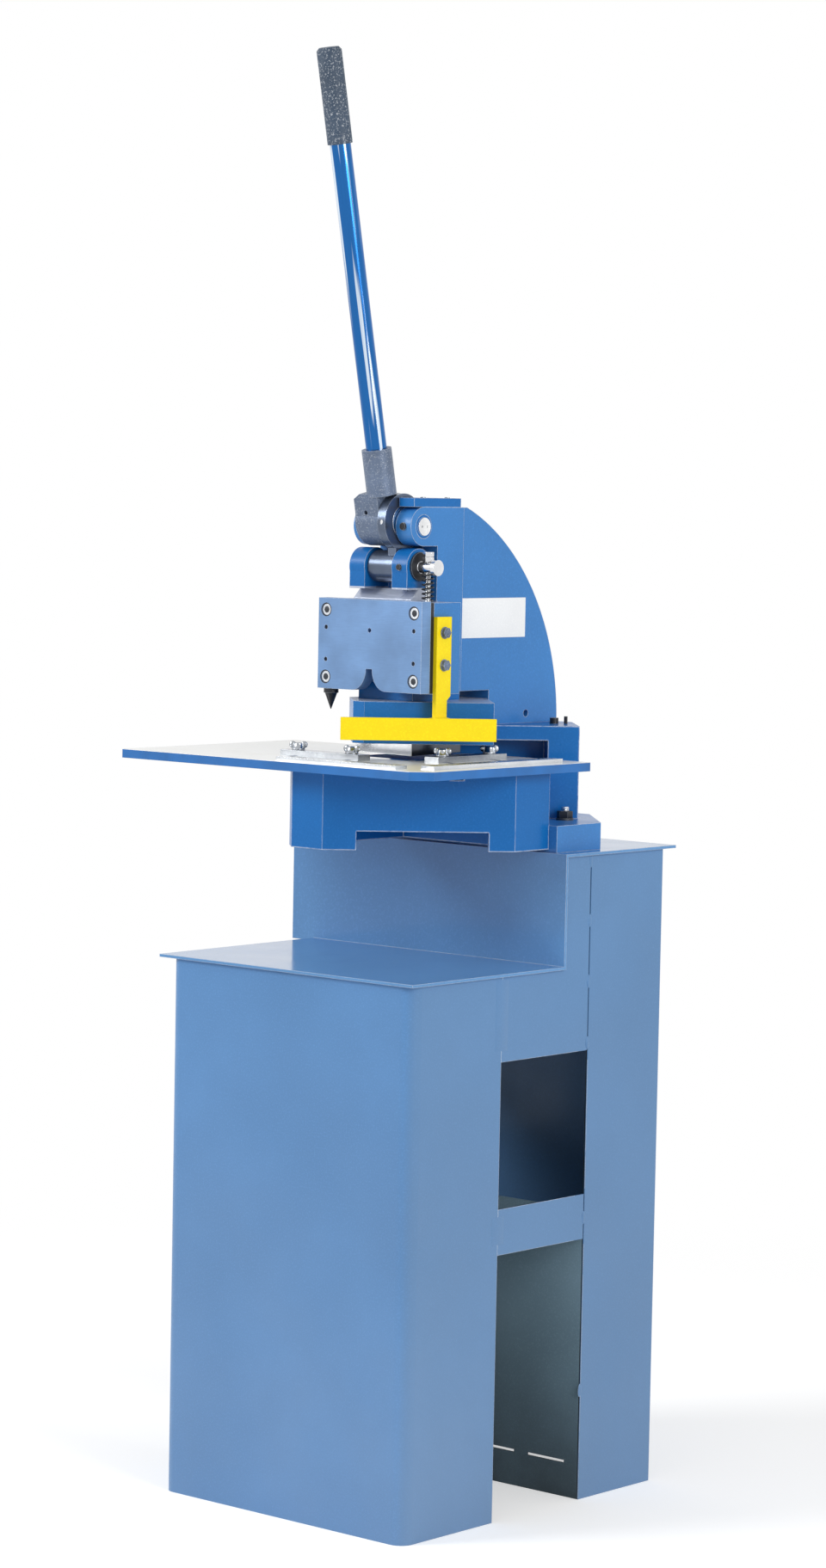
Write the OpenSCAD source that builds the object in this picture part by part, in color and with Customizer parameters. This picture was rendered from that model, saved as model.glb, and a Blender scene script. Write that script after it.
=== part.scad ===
// Corner notcher on a two-leg sheet metal stand, worked by a long hand lever.
// Sizes are in millimetres. Inside the modules the origin is the floor point under
// the stand's near right corner; place() moves that frame to the centre of the footprint.

/* [Stand] */
// Width of the front leg
stand_w = 432; // [360:1:520]
// Depth of the front leg
front_leg_d = 180; // [140:1:220]
// Gap between the front leg and the rear leg
leg_gap = 181; // [150:1:220]
// Depth of the rear leg
rear_leg_d = 158; // [140:1:200]
// Extra width of the rear leg and the platform on the left
rear_extra_w = 50; // [40:1:70]
// Height of the shelf above the floor
shelf_h = 730; // [660:1:760]
// Height of the platform above the floor
platform_h = 880; // [850:1:920]
// Distance from the stand's front to the riser
riser_y = 301; // [285:1:320]
// Thickness of the folded top sheet
sheet_t = 4; // [3:0.5:6]
// Thickness of the legs' sheet
leg_t = 3; // [2:0.5:4]
// Outer bend radius of the front leg
bend_r = 20; // [12:1:28]
// Outer bend radius of the rear leg
rear_bend_r = 5; // [4:0.5:10]
// Width of the flanges folded in beside the side openings
return_w = 28; // [15:1:45]
// Overhang of the shelf at the front and on the right
sheet_lip = 5; // [2:1:12]
// Overhang of the shelf on the left
shelf_lip_l = 15; // [5:1:30]
// Overhang of the platform at the back
platform_lip = 19; // [5:1:30]
// Underside of the upper side panels
window_top = 613; // [560:1:650]
// Top edge of the cross bars
bar_top = 418; // [380:1:460]
// Height of the cross bars
bar_h = 61; // [40:1:90]
// Height of the panel in front of the rear leg
panel_h = 396; // [365:1:410]
// Height of the slots in that panel above the floor
panel_slot_z = 46; // [30:1:80]
// Width of each of those slots
panel_slot_w = 65; // [40:1:80]
// Distance between those slots
panel_slot_gap = 23; // [15:1:40]
// Distance from the panel's right edge to its first slot
panel_slot_inset = 23; // [15:1:60]
// Height of the cut at the foot of the rear leg's back
foot_cut_h = 60; // [40:1:90]
// Width left on each side of that cut
foot_cut_side = 60; // [40:1:90]
// Gap at the welded seams in front of the rear leg
seam = 2; // [1:0.5:3]

/* [Base and bed] */
// Thickness of the base plate
base_t = 36; // [24:1:50]
// Width of the base plate
base_w = 467; // [440:1:470]
// Inset of the base plate from the stand's right side
base_inset = 18; // [10:1:30]
// Setback of the base plate behind the riser
base_setback = 7; // [4:1:15]
// Depth of the base plate
base_d = 192; // [180:1:200]
// Corner cut at the back of the base plate
base_cut = 99; // [70:1:110]
// Size of the base bolts
base_bolt_d = 12; // [10:1:14]
// Gap under the bed's front box
bed_lift = 4; // [2:0.5:10]
// Wall of the bed's front box
bed_wall = 14; // [10:1:20]
// Distance from the punch corner to the bed's front face
bed_front = 62; // [58:1:75]
// Right end of the bed's front face, along the face
bed_front_r = 135; // [125:1:150]
// Left end of the bed's front face, along the face
bed_front_l = 120; // [110:1:130]
// Length of the bed's right side face
bed_side = 70; // [50:1:71]
// Length of the bed's left side face
bed_side_l = 55; // [40:1:70]
// Corner cut at the bed's left front
bed_cut = 22; // [10:1:30]
// Height of the scrap opening in the bed's front
scrap_h = 26; // [16:1:40]
// Right end of the scrap opening, along the front face
scrap_r = 100; // [80:1:110]
// Left end of the scrap opening, along the front face
scrap_l = 75; // [60:1:90]
// Distance from the punch corner to the column's front face
column_w = 100; // [92:1:108]
// Right end of the column's front face, along the face
column_r = 235; // [225:1:245]
// Height of the column's top above the floor
column_top = 1042; // [1036:1:1050]
// Height of the throat for the sheet
throat_h = 22; // [14:1:26]
// Depth of the throat behind the punch corner
throat_w = 150; // [145:1:155]
// Right end of the throat, along the face
throat_r = 192; // [185:1:200]

/* [Table] */
// Height of the table's top above the floor
table_h = 1000; // [990:1:1010]
// Thickness of the table and of the die plate
table_t = 12; // [8:1:16]
// Left edge of the table from the stand's right side
table_l = 544; // [500:1:580]
// Right edge of the table inside the stand's right side
table_r = 4; // [0:1:12]
// Front edge of the table behind the stand's front
table_f = 16; // [6:1:30]
// Depth of the table
table_d = 342; // [320:1:360]
// Corner cut at the operator's corner
table_cut = 23; // [10:1:50]
// Thickness of the scales
scale_t = 5; // [3:0.5:8]
// Width of the scales
scale_w = 22; // [15:1:30]
// Length of the right scale
scale_r_len = 262; // [150:1:300]
// Length of the left scale
scale_l_len = 210; // [150:1:260]
// Thickness of the stop bars
stop_t = 8; // [5:1:10]
// Width of the stop bars
stop_w = 24; // [18:1:30]
// Length of the stop bars
stop_len = 140; // [110:1:160]
// Spacing of the clamp screws on a stop bar
clamp_pitch = 96; // [70:1:110]
// Travel of a stop bar to each side of its rest
stop_travel = 20; // [10:1:24]
// Diameter of the clamp screw heads
clamp_head_d = 26; // [18:1:28]
// Diameter of the clamp screws
clamp_d = 8; // [6:1:10]

/* [Punch and die] */
// Side of the square punch, which is the largest notch
notch = 100; // [80:1:104]
// Distance of the punch corner inside the stand's right side
punch_x = 171; // [165:1:176]
// Distance of the punch corner behind the stand's front
punch_y = 186; // [182:1:190]
// Gap under the punch corner at rest
punch_gap = 5; // [4.5:0.5:6]
// Slope of the punch's cutting face
punch_shear = 2.5; // [1:0.5:4]
// Clearance round the punch in its guide
guide_fit = 0.5; // [0.3:0.1:1]
// Cutting clearance in the die plate
die_fit = 0.3; // [0.1:0.1:0.5]
// Width of the die plate round its opening
die_margin = 20; // [16:1:24]
// Top of the guide block above the floor
guide_top = 1078; // [1074:0.5:1080]
// Front face of the guide block, from the punch corner
guide_front = 16; // [12:1:20]
// Right end of the guide block
guide_r = 108; // [98:1:112]
// Left end of the guide block
guide_l = 79; // [78:1:88]
// Corner cut at the guide block's left front
guide_cut = 14; // [5:1:22]

/* [Head] */
// Centre plane of the head, inside the stand's right side
head_x = 221; // [219:1:223]
// Width of the upper head and of both forks
head_w = 102; // [96:1:110]
// Inset of the rear frame from the head's sides
web_inset = 3; // [1:1:8]
// Front face of the upper head
head_front = 229.5; // [226:0.5:234]
// Back of the head's thick front part
head_step = 283; // [275:1:295]
// Height of the head's top
head_top = 1336; // [1330:1:1345]
// Radius of the frame's curved back
back_r = 316.5; // [305:0.5:325]
// Front of the frame's foot
foot_front = 345; // [340:1:360]
// Width of the slide housing
housing_w = 183.5; // [176:0.5:190]
// Front face of the slide housing
housing_front = 178; // [176:0.5:180]
// Back of the slide housing's side walls
housing_back = 232.5; // [230:0.5:240]
// Underside of the slide housing
housing_bot = 1089; // [1087:0.5:1092]
// Top of the slide housing
housing_top = 1210.5; // [1204:0.5:1216]
// Height of the lever's pivot
pivot_z = 1310; // [1306:1:1314]
// Distance of the lever's pivot behind the stand's front
pivot_y = 201; // [198:1:204]
// Radius of the fork ears
ear_r = 26; // [23:1:27]
// Width of the slot in both forks
fork_slot = 48; // [46:1:50]
// Extra width of the upper fork's slot on the left
fork_extra = 13; // [10:1:16]
// Diameter of the shaft's bearing ends
shaft_d = 24; // [20:1:26]
// Outer diameter of the fork bushes
bush_d = 32; // [28:1:34]
// Running clearance on the shaft's radius
shaft_fit = 0.05; // [0.02:0.01:0.1]

/* [Slide] */
// Width of the slide
ram_w = 122; // [116:1:126]
// Thickness of the slide
ram_t = 39.5; // [36:0.5:40]
// Clearance of the slide in its housing
ram_fit = 0.1; // [0.05:0.01:0.2]
// Height of the slide's underside
ram_bot = 1102; // [1101:0.5:1106]
// Height of the slide's front top edge
ram_shoulder = 1213; // [1209:0.5:1216]
// Height of the slide's flat top
ram_top = 1227; // [1222:0.5:1230]
// Thickness of the adjustable gib
gib_t = 6; // [4:0.5:8]
// Height of the slide's pin
ram_pin_z = 1256; // [1254:0.5:1258]
// Diameter of the slide's pin
ram_pin_d = 16; // [14:1:18]
// Radius of the slide's ears
ram_ear_r = 25; // [22:1:26]
// Width of the slide's ears below their round ends
ram_ear_w = 48; // [40:1:50]
// Outer diameter of the spacers on the slide's pin
sleeve_d = 36; // [30:1:40]
// Thickness of those spacers
sleeve_t = 2; // [1.5:0.5:4]

/* [Front plate and guard] */
// Thickness of the front plate
plate_t = 18; // [14:1:22]
// Underside of the front plate
plate_bot = 1090.5; // [1089:0.5:1094]
// Top of the front plate
plate_top = 1212; // [1206:0.5:1218]
// Thickness of the keeper strips behind the front plate
keeper_t = 6.5; // [5:0.5:8]
// Overlap of the keeper strips on the slide
keeper_lap = 10; // [6:1:14]
// Spacing of the plate screws across
plate_pitch_x = 156; // [150:1:160]
// Spacing of the plate screws in height
plate_pitch_z = 90; // [84:1:96]
// Spacing of the dowels in height
dowel_pitch_z = 43; // [36:1:50]
// Diameter of the dowels and of the centre hole
dowel_d = 6; // [4:0.5:8]
// Diameter of the plate screws
plate_screw_d = 10; // [8:1:10]
// Height of the notch in the plate's lower edge
mouth_h = 29; // [20:1:34]
// Width of the notch at its top
mouth_w = 11; // [8:1:16]
// Radius of the notch's flared sides
mouth_r = 24; // [16:1:27]
// Width of the guard's strap
strap_w = 29.5; // [24:0.5:32]
// Thickness of the guard's steel
guard_t = 6; // [4:0.5:8]
// Top of the guard's strap
strap_top = 1192; // [1180:1:1200]
// Height of the guard bar
bar_depth = 30; // [24:1:36]
// Underside of the guard bar
guard_bot = 1029; // [1026:0.5:1034]
// Distance of the guard bar in front of the punch corner
guard_w = 50; // [44:1:56]
// Left end of the guard bar
guard_l = 98; // [85:1:105]
// Right end of the guard bar
guard_r = 108; // [95:1:112]

/* [Lever] */
// Forward lean of the lever at rest, in degrees
lever_lean = 11.7; // [6:0.1:14]
// Offset of the lever's line in front of the pivot
lever_off = 18.6; // [12:0.1:20]
// Travel of the lever, in degrees
lever_travel = 76; // [60:1:80]
// Throw of the eccentric
throw = 9; // [7:0.5:10]
// Radius of the eccentric
ecc_r = 22; // [21.5:0.5:23]
// Outer radius of the link's big end
strap_r = 38; // [35:0.5:39]
// Thickness of the link at its big end
link_t = 13.5; // [11:0.5:16]
// Outer radius of the link's small end
eye_r = 21.5; // [18:0.5:22]
// Play of the link's small end on the slide's pin, on the radius
eye_play = 1.2; // [1.1:0.1:1.6]
// Width of the link's neck
neck_w = 30; // [26:1:36]
// Radius of the lever's hub
hub_r = 35.5; // [33:0.5:36]
// Distance of the hub's middle in front of the pivot
hub_y = 4.5; // [4:0.5:6]
// Height of the hub's middle above the pivot
hub_z = 8.5; // [7:0.5:10]
// Diameter of the lever's socket
socket_d = 40; // [36:1:44]
// Start of the socket above the pivot, along the lever
socket_start = 46; // [44:1:52]
// End of the socket above the pivot, along the lever
socket_end = 108; // [100:1:120]
// Diameter of the lever tube
tube_d = 28; // [24:1:32]
// Wall of the lever tube
tube_wall = 3; // [2:0.5:4]
// Start of the tube above the pivot, along the lever
tube_start = 58; // [54:1:64]
// End of the grip above the pivot, along the lever
lever_len = 637; // [560:1:700]
// Length of the grip
grip_len = 125; // [100:1:150]
// Diameter of the grip
grip_d = 33; // [30:1:38]

/* [Return spring] */
// Diameter of the stop stud
stud_d = 8; // [6:1:8]
// Diameter of the pin's outer neck
neck_d = 15; // [13:1:16]
// Distance of the stud from the head's right side
stud_x = 16; // [14:0.5:17]
// Outer diameter of the return spring
spring_d = 17; // [15:0.5:18]
// Wire of the return spring
spring_wire = 2.4; // [1.8:0.1:2.6]
// Turns of the return spring
spring_turns = 6; // [4:1:7]

/* [Hidden] */
$fn = 64;
eps = 0.01;
root2 = sqrt(2);
base_back = riser_y + base_setback + base_d;
bed_right = 31.7;
bed_left = -punch_x - notch - die_margin;

// Fixed details
washer_t = 2.5;
screw_gap = 1;
rest_gap = 0.5;
run_gap = 0.3;

// Places in the stand's frame
punch_c = [-punch_x, punch_y];
platform_l = -stand_w - rear_extra_w - sheet_lip;
head_c = -head_x;
head_l = head_c - head_w / 2;
head_r = head_c + head_w / 2;
housing_l = head_c - housing_w / 2;
housing_r = head_c + housing_w / 2;
ram_l = head_c - ram_w / 2;
ram_r = head_c + ram_w / 2;
rear_y = front_leg_d + leg_gap;
stand_d = rear_y + rear_leg_d;
base_top = platform_h + base_t;
bed_bot = platform_h + bed_lift;
table_bot = table_h - table_t;
punch_bot = table_h + punch_gap;
guide_bot = table_h + throat_h;
punch_top = guide_top - 2;
ram_front = housing_front + ram_fit;
ram_back = ram_front + ram_t;
ecc_angle = lever_travel / 2;
ecc_y = pivot_y - throw * cos(ecc_angle);
ecc_z = pivot_z + throw * sin(ecc_angle);
stroke = 2 * throw * sin(ecc_angle);
ram_pin_y = pivot_y - throw * (1 + cos(ecc_angle)) / 2;
keeper_y = housing_front - keeper_t;
front_y = keeper_y - plate_t;
housing_mid = (plate_bot + plate_top) / 2;
stud_px = head_r + stud_x;
web_t = head_w - 2 * web_inset;
back_y = base_back - 8;
slot_r = fork_slot / 2;
ear_t = (head_w - fork_slot) / 2;
left_ear_t = ear_t - fork_extra;
slot_l = head_l + left_ear_t;
pocket_r = throw + max(strap_r, hub_r) + 1;
link_r = head_c + slot_r - sleeve_t - run_gap;
link_l = link_r - link_t;
eye_l = head_c - slot_r + sleeve_t + run_gap;
hub_l = slot_l + 1;
hub_right = link_l - 0.5;
stop_front = pivot_y - hub_y + sqrt(pow(hub_r, 2) - pow(head_top - pivot_z - hub_z, 2)) + 2;
gib_left = ram_l - ram_fit - gib_t;
gib_y = ram_front + ram_t / 2;
guard_y = housing_front + 15;
guard_screw_d = 10;
dowel_in = guard_y - guard_screw_d / 2 - housing_front - 2;
guard_arm = guard_bot + bar_depth - guard_t;
bush_screw_d = 10;
dw_at_foot = (foot_front - 3 - punch_y) * root2 - guide_r;

// Screw places
base_bolt_at = [[-76, 395], [-455, riser_y + 44], [-445, 405], [-340, 470]];
column_bolt_at = [-138, 444];
column_pin_at = [-128, 457];
table_screw_at = [dp(115, -bed_front + bed_wall / 2), dp(-95, -bed_front + bed_wall / 2),
    [-bed_right - bed_wall / 2, 290], [bed_left + bed_wall / 2, 120]];
die_screw_at = [for (k = [[-1, -1], [1, -1], [1, 1]])
    [-punch_x - notch / 2, punch_y + notch / 2] + k * (notch + die_margin) / 2];
guide_screw_at = [[bed_left + 9, 302], [bed_left + 9, 328], [-240, 323], [-197, 323]];
plug_d = 6;
lug_h = 10;
cross_hole_y = 425;
pointer_x = -296;
shoulder_s = 12;
oil_x = (hub_l + hub_right) / 2 - 2;
plate_screw_at = [for (x = [-1, 1], z = [-1, 1])
    [head_c + x * plate_pitch_x / 2, housing_mid + z * plate_pitch_z / 2]];
dowel_at = [for (x = [-1, 1], z = [-1, 1])
    [head_c + x * plate_pitch_x / 2, housing_mid + z * dowel_pitch_z / 2]];
guard_screw_z = [strap_top - 21, strap_top - 64];
gib_screw_z = [housing_bot + 21, housing_mid, housing_top - 21];
head_bolt_at = [[head_c - 24, back_y - 28], [head_c + 24, back_y - 28]];
punch_screw_x = [head_c - 25, head_c + 25];
punch_screw_y = ram_front + 22;
stop_screw_at = [for (x = [head_l + left_ear_t / 2, head_r - ear_t / 2], y = [214, 263]) [x, y]];

// Stops on the table: middles of the bars and of their clamp screws
right_stop_at = [-115, 232];
left_stop_at = [-265, 118];
right_clamp_at = [for (k = [-1, 1]) right_stop_at + [0, k * clamp_pitch / 2]];
left_clamp_at = [for (k = [1, -1]) left_stop_at + [k * clamp_pitch / 2, 0]];
clamp_slot_w = clamp_d + 1;
nut_w = 2 * clamp_d - 2;
nut_h = clamp_d;

// Footprint of the whole machine
foot_min = [min(-table_l, platform_l), -sheet_lip];
foot_max = [sheet_lip, stand_d + platform_lip];
foot_mid = (foot_min + foot_max) / 2;

// Point at u along and w behind the diagonal through the punch corner
function dp(u, w) = punch_c + [u - w, u + w] / root2;
// Places on a line of constant w or of constant u where X has the given value
function on_w_x(w, x) = [x, punch_c[1] + (x - punch_c[0]) + w * root2];
function on_u_x(u, x) = [x, punch_c[1] - (x - punch_c[0]) + u * root2];

stand_paint = "#6f93b8";
machine_paint = "#2f6cab";
steel = "#c4c9cf";
dark_steel = "#4b5763";
guard_paint = "#ffe62a";

module place() translate([-foot_mid[0], -foot_mid[1], 0]) children();

// Extrudes a profile drawn in Y and Z from x0 over a length t along X
module along_x(x0, t) translate([x0, 0, 0]) rotate([90, 0, 90]) linear_extrude(t) children();

// Extrudes a profile drawn in X and Z from y0 over a length t along Y
module along_y(y0, t) translate([0, y0 + t, 0]) rotate([90, 0, 0]) linear_extrude(t) children();

// Extrudes a plan from z0 up to z1
module rise(z0, z1) translate([0, 0, z0]) linear_extrude(z1 - z0) children();

module rod_x(x0, x1, y, z, d) translate([x0, y, z]) rotate([0, 90, 0]) cylinder(h = x1 - x0, d = d);
module rod_y(y0, y1, x, z, d) translate([x, y0, z]) rotate([-90, 0, 0]) cylinder(h = y1 - y0, d = d);
module rod_z(z0, z1, x, y, d) translate([x, y, z0]) cylinder(h = z1 - z0, d = d);

// Rounded rectangle from its lower left corner
module round_rect(w, d, r) {
    translate([r, 0]) square([w - 2 * r, d]);
    translate([0, r]) square([w, d - 2 * r]);
    for (x = [r, w - r], y = [r, d - r]) translate([x, y]) circle(r);
}

// Plan of a folded leg, closed at Y = 0 and open at its back
module leg_plan(w, d, r) difference() {
    round_rect(w, d + r, r);
    translate([leg_t, leg_t]) round_rect(w - 2 * leg_t, d + r, r - leg_t);
    translate([-1, d]) square([w + 2, r + 1]);
}

module hex_prism(h, across) cylinder(h = h, d = across / cos(30), $fn = 6);

// Socket head cap screw with its head's top at the origin, pointing down
module cap_screw(d, len) difference() {
    union() {
        translate([0, 0, -d]) cylinder(h = d, d = 1.5 * d);
        translate([0, 0, -d - len]) cylinder(h = len + eps, d = d);
    }
    translate([0, 0, -0.5 * d]) hex_prism(0.5 * d + 1, 0.8 * d);
}

// Hex head bolt with its washer, standing on the origin and pointing down
module hex_bolt(d, len) {
    translate([0, 0, washer_t]) hex_prism(0.65 * d, 1.55 * d);
    cylinder(h = washer_t, d = 2.1 * d);
    translate([0, 0, -len]) cylinder(h = len + eps, d = d);
}

// Hex nut over a washer, hanging under the origin round a bolt
module hung_nut(d) difference() {
    union() {
        translate([0, 0, -washer_t]) cylinder(h = washer_t, d = 2.1 * d);
        translate([0, 0, -washer_t - 0.8 * d]) hex_prism(0.8 * d + eps, 1.55 * d);
    }
    translate([0, 0, -washer_t - d]) cylinder(h = d + 2 * washer_t, d = d);
}

// Heights of the two openings in each side of the stand
side_openings = [[0, bar_top - bar_h], [bar_top, window_top]];

// Front leg, with flanges folded in beside the side openings
module front_leg() color(stand_paint) place() translate([-stand_w, 0, 0]) {
    linear_extrude(shelf_h - sheet_t) leg_plan(stand_w, front_leg_d, bend_r);
    for (o = side_openings, x = [0, stand_w - return_w])
        translate([x, front_leg_d - leg_t, o[0]]) cube([return_w, leg_t, o[1] - o[0]]);
}

// Rear leg, open towards the front leg, with a flange that closes its extra width
module rear_leg() color(stand_paint) place() translate([-stand_w - rear_extra_w, rear_y, 0])
    difference() {
        union() {
            translate([0, rear_leg_d, 0]) mirror([0, 1, 0]) linear_extrude(platform_h - sheet_t)
                leg_plan(stand_w + rear_extra_w, rear_leg_d, rear_bend_r);
            cube([rear_extra_w + leg_t, leg_t, platform_h - sheet_t]);
        }
        translate([foot_cut_side, rear_leg_d - 2 * leg_t, -1])
            cube([stand_w + rear_extra_w - 2 * foot_cut_side, 3 * leg_t, foot_cut_h + 1]);
    }

// Panel between the rear leg's sides, with slots over its foot
module rear_panel() color(stand_paint) place() difference() {
    translate([-stand_w + leg_t, rear_y, 0]) cube([stand_w - 2 * leg_t, leg_t, panel_h]);
    pitch = panel_slot_w + panel_slot_gap;
    slots = floor((stand_w - 2 * leg_t - 2 * panel_slot_inset + panel_slot_gap) / pitch);
    for (k = [0 : slots - 1])
        translate([-leg_t - panel_slot_inset - k * pitch - panel_slot_w, rear_y - 1, panel_slot_z])
            cube([panel_slot_w, leg_t + 2, leg_t + 1]);
}

// Shelf, riser and platform in one folded sheet, with the bolt holes of the base
module top_sheet() color(stand_paint) place() difference() {
    union() {
        translate([-stand_w - shelf_lip_l, -sheet_lip, shelf_h - sheet_t])
            cube([stand_w + shelf_lip_l + sheet_lip, sheet_lip + riser_y + sheet_t, sheet_t]);
        translate([platform_l, riser_y, shelf_h - sheet_t])
            cube([sheet_lip - platform_l, sheet_t, platform_h - shelf_h + sheet_t]);
        translate([platform_l, riser_y, platform_h - sheet_t])
            cube([sheet_lip - platform_l, foot_max[1] - riser_y, sheet_t]);
    }
    for (p = base_bolt_at)
        rod_z(platform_h - 2 * sheet_t, platform_h + 1, p[0], p[1], base_bolt_d + 1);
}

// Sheet over the upper opening, flush with the legs, with a strip up to the platform
module side_panel() {
    translate([-leg_t, front_leg_d, window_top])
        cube([leg_t, leg_gap - seam, shelf_h - sheet_t - window_top]);
    translate([-leg_t, riser_y + sheet_t, shelf_h - sheet_t - eps])
        cube([leg_t, rear_y - seam - riser_y - sheet_t, platform_h - shelf_h + eps]);
}

module cross_bar() translate([-leg_t, front_leg_d, bar_top - bar_h])
    cube([leg_t, leg_gap - seam, bar_h]);

module right_side_panel() color(stand_paint) place() side_panel();
module left_side_panel() color(stand_paint) place()
    translate([-stand_w, 0, 0]) mirror([1, 0, 0]) side_panel();
module right_cross_bar() color(stand_paint) place() cross_bar();
module left_cross_bar() color(stand_paint) place()
    translate([-stand_w, 0, 0]) mirror([1, 0, 0]) cross_bar();

module base_plate() color(machine_paint) place() difference() {
    rise(platform_h, base_top) polygon([
        [-base_inset - base_w, riser_y + base_setback], [-base_inset, riser_y + base_setback],
        [-base_inset, base_back - base_cut], [-base_inset - base_cut, base_back],
        [-base_inset - base_w + base_cut, base_back], [-base_inset - base_w, base_back - base_cut]]);
    for (p = base_bolt_at)
        rod_z(platform_h - 1, base_top + 1, p[0], p[1], base_bolt_d + 1);
}

module base_bolts() color(steel) place()
    for (p = base_bolt_at) translate([p[0], p[1], base_top])
        hex_bolt(base_bolt_d, base_t + sheet_t + washer_t + 1.2 * base_bolt_d);

module base_nuts() color(steel) place()
    for (p = base_bolt_at) translate([p[0], p[1], platform_h - sheet_t]) hung_nut(base_bolt_d);

// Plans of the bed
module box_plan() polygon([
    dp(-bed_front_l, -bed_front) - [bed_side_l, 0], dp(-bed_front_l, -bed_front),
    [-bed_right, dp(bed_front_r, -bed_front)[1]],
    [-bed_right, riser_y + base_setback - rest_gap],
    [bed_left, riser_y + base_setback - rest_gap],
    [bed_left, dp(-bed_front_l, -bed_front)[1] + bed_cut]]);

module bridge_plan() polygon([
    [bed_left, riser_y], [-bed_right, riser_y],
    [-bed_right, riser_y + base_setback - rest_gap], dp(column_r - 40, column_w + 2),
    [bed_left, base_back - base_cut]]);

module column_plan() {
    corner = dp(column_r, column_w);
    polygon([on_w_x(column_w, bed_left), corner,
        [corner[0] - (back_y + 3 - corner[1]), back_y + 3], [bed_left, back_y + 3]]);
}

// Strip between two distances behind the punch corner, from u0 to u1
module dp_strip(u0, u1, w0, w1)
    polygon([dp(u0, w0), dp(u1, w0), dp(u1, w1), dp(u0, w1)]);

module punch_square(gap) translate([-punch_x - notch - gap, punch_y - gap])
    square(notch + 2 * gap);

// Casting of scrap box, throat column and upper jaw
module bed() color(machine_paint) place() difference() {
    union() {
        rise(bed_bot, table_bot) box_plan();
        rise(base_top, table_bot) bridge_plan();
        rise(base_top, column_top) column_plan();
    }
    rise(bed_bot - 1, table_bot - bed_wall) offset(delta = -bed_wall) box_plan();
    rise(bed_bot - 1, bed_bot - 1 + scrap_h)
        dp_strip(-scrap_l, scrap_r, -bed_front - 1, -bed_front + 2 * bed_wall);
    rise(table_bot - bed_wall - 1, table_bot + 1) punch_square(4);
    rise(table_bot, guide_bot) dp_strip(-300, throat_r, 0, throat_w);
    rise(table_bot, table_h) punch_square(die_margin + rest_gap);
    rise(guide_bot - 1, column_top + 1) punch_square(guide_fit + 1);
    for (p = table_screw_at) rod_z(table_bot - 16, table_bot + 1, p[0], p[1], 6);
    for (p = die_screw_at) rod_z(table_bot - 11, table_bot + 1, p[0], p[1], 6);
    for (p = guide_screw_at) rod_z(column_top - 17, column_top + 1, p[0], p[1], 8);
    for (p = head_bolt_at) rod_z(column_top - 36, column_top + 1, p[0], p[1], 12);
    rod_z(column_top - 20, column_top + 1, column_bolt_at[0], column_bolt_at[1], 8);
    rod_z(column_top - 15, column_top + 1, column_pin_at[0], column_pin_at[1], 5);
    for (p = right_clamp_at) translate([p[0] - stop_travel - nut_w, p[1] - nut_w / 2 - 1, 0])
        rise(table_bot - nut_h - 2, table_bot + 1) square([2 * (stop_travel + nut_w), nut_w + 2]);
    for (p = left_clamp_at) translate([p[0] - nut_w / 2 - 1, p[1] - stop_travel - nut_w, 0])
        rise(table_bot - nut_h - 2, table_bot + 1) square([nut_w + 2, 2 * (stop_travel + nut_w)]);
}

// Cap screw and locating pin on the column's top
module column_bolts() color(steel) place() {
    translate([column_bolt_at[0], column_bolt_at[1], column_top + 8]) cap_screw(8, 18);
    rod_z(column_top - 14, column_top + 10, column_pin_at[0], column_pin_at[1], 5);
}

// Plan of the table, cut out round the column
module table_plan() difference() {
    polygon([[-table_r - table_cut, table_f], [-table_r, table_f + table_cut],
        [-table_r, table_f + table_d], [-table_l, table_f + table_d], [-table_l, table_f]]);
    offset(delta = 1) difference() {
        column_plan();
        dp_strip(-300, throat_r - 1, 0, throat_w - 1);
    }
}

// Long hole of a stop's clamp screw along X or along Y
module clamp_slot(p, along) {
    reach = stop_travel + clamp_slot_w / 2;
    size = along == "x" ? [2 * reach, clamp_slot_w] : [clamp_slot_w, 2 * reach];
    translate([p[0], p[1]] - size / 2) square(size);
}

module table() color(steel) place() difference() {
    rise(table_bot, table_h) difference() {
        table_plan();
        punch_square(die_margin);
        for (p = right_clamp_at) clamp_slot(p, "x");
        for (p = left_clamp_at) clamp_slot(p, "y");
    }
    for (p = table_screw_at) {
        rod_z(table_bot - 1, table_h, p[0], p[1], 6);
        rod_z(table_h - 7, table_h + 1, p[0], p[1], 11);
    }
}

module table_screws() color(steel) place()
    for (p = table_screw_at) translate([p[0], p[1], table_h - screw_gap]) cap_screw(6, 20);

module die_plate() color(steel) place() difference() {
    rise(table_bot, table_h) difference() {
        punch_square(die_margin);
        punch_square(die_fit);
    }
    for (p = die_screw_at) {
        rod_z(table_bot - 1, table_h, p[0], p[1], 6);
        rod_z(table_h - 7, table_h + 1, p[0], p[1], 10);
    }
}

module die_screws() color(steel) place()
    for (p = die_screw_at) translate([p[0], p[1], table_h - screw_gap]) cap_screw(6, 14);

// Block that guides the punch and holds the sheet down
module guide_plan() polygon([
    dp(-guide_l + guide_cut, -guide_front), dp(guide_r, -guide_front),
    [dp(guide_r, dw_at_foot)[0], foot_front - 3], [bed_left, foot_front - 3],
    on_u_x(-guide_l, bed_left), dp(-guide_l, -guide_front + guide_cut)]);

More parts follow.
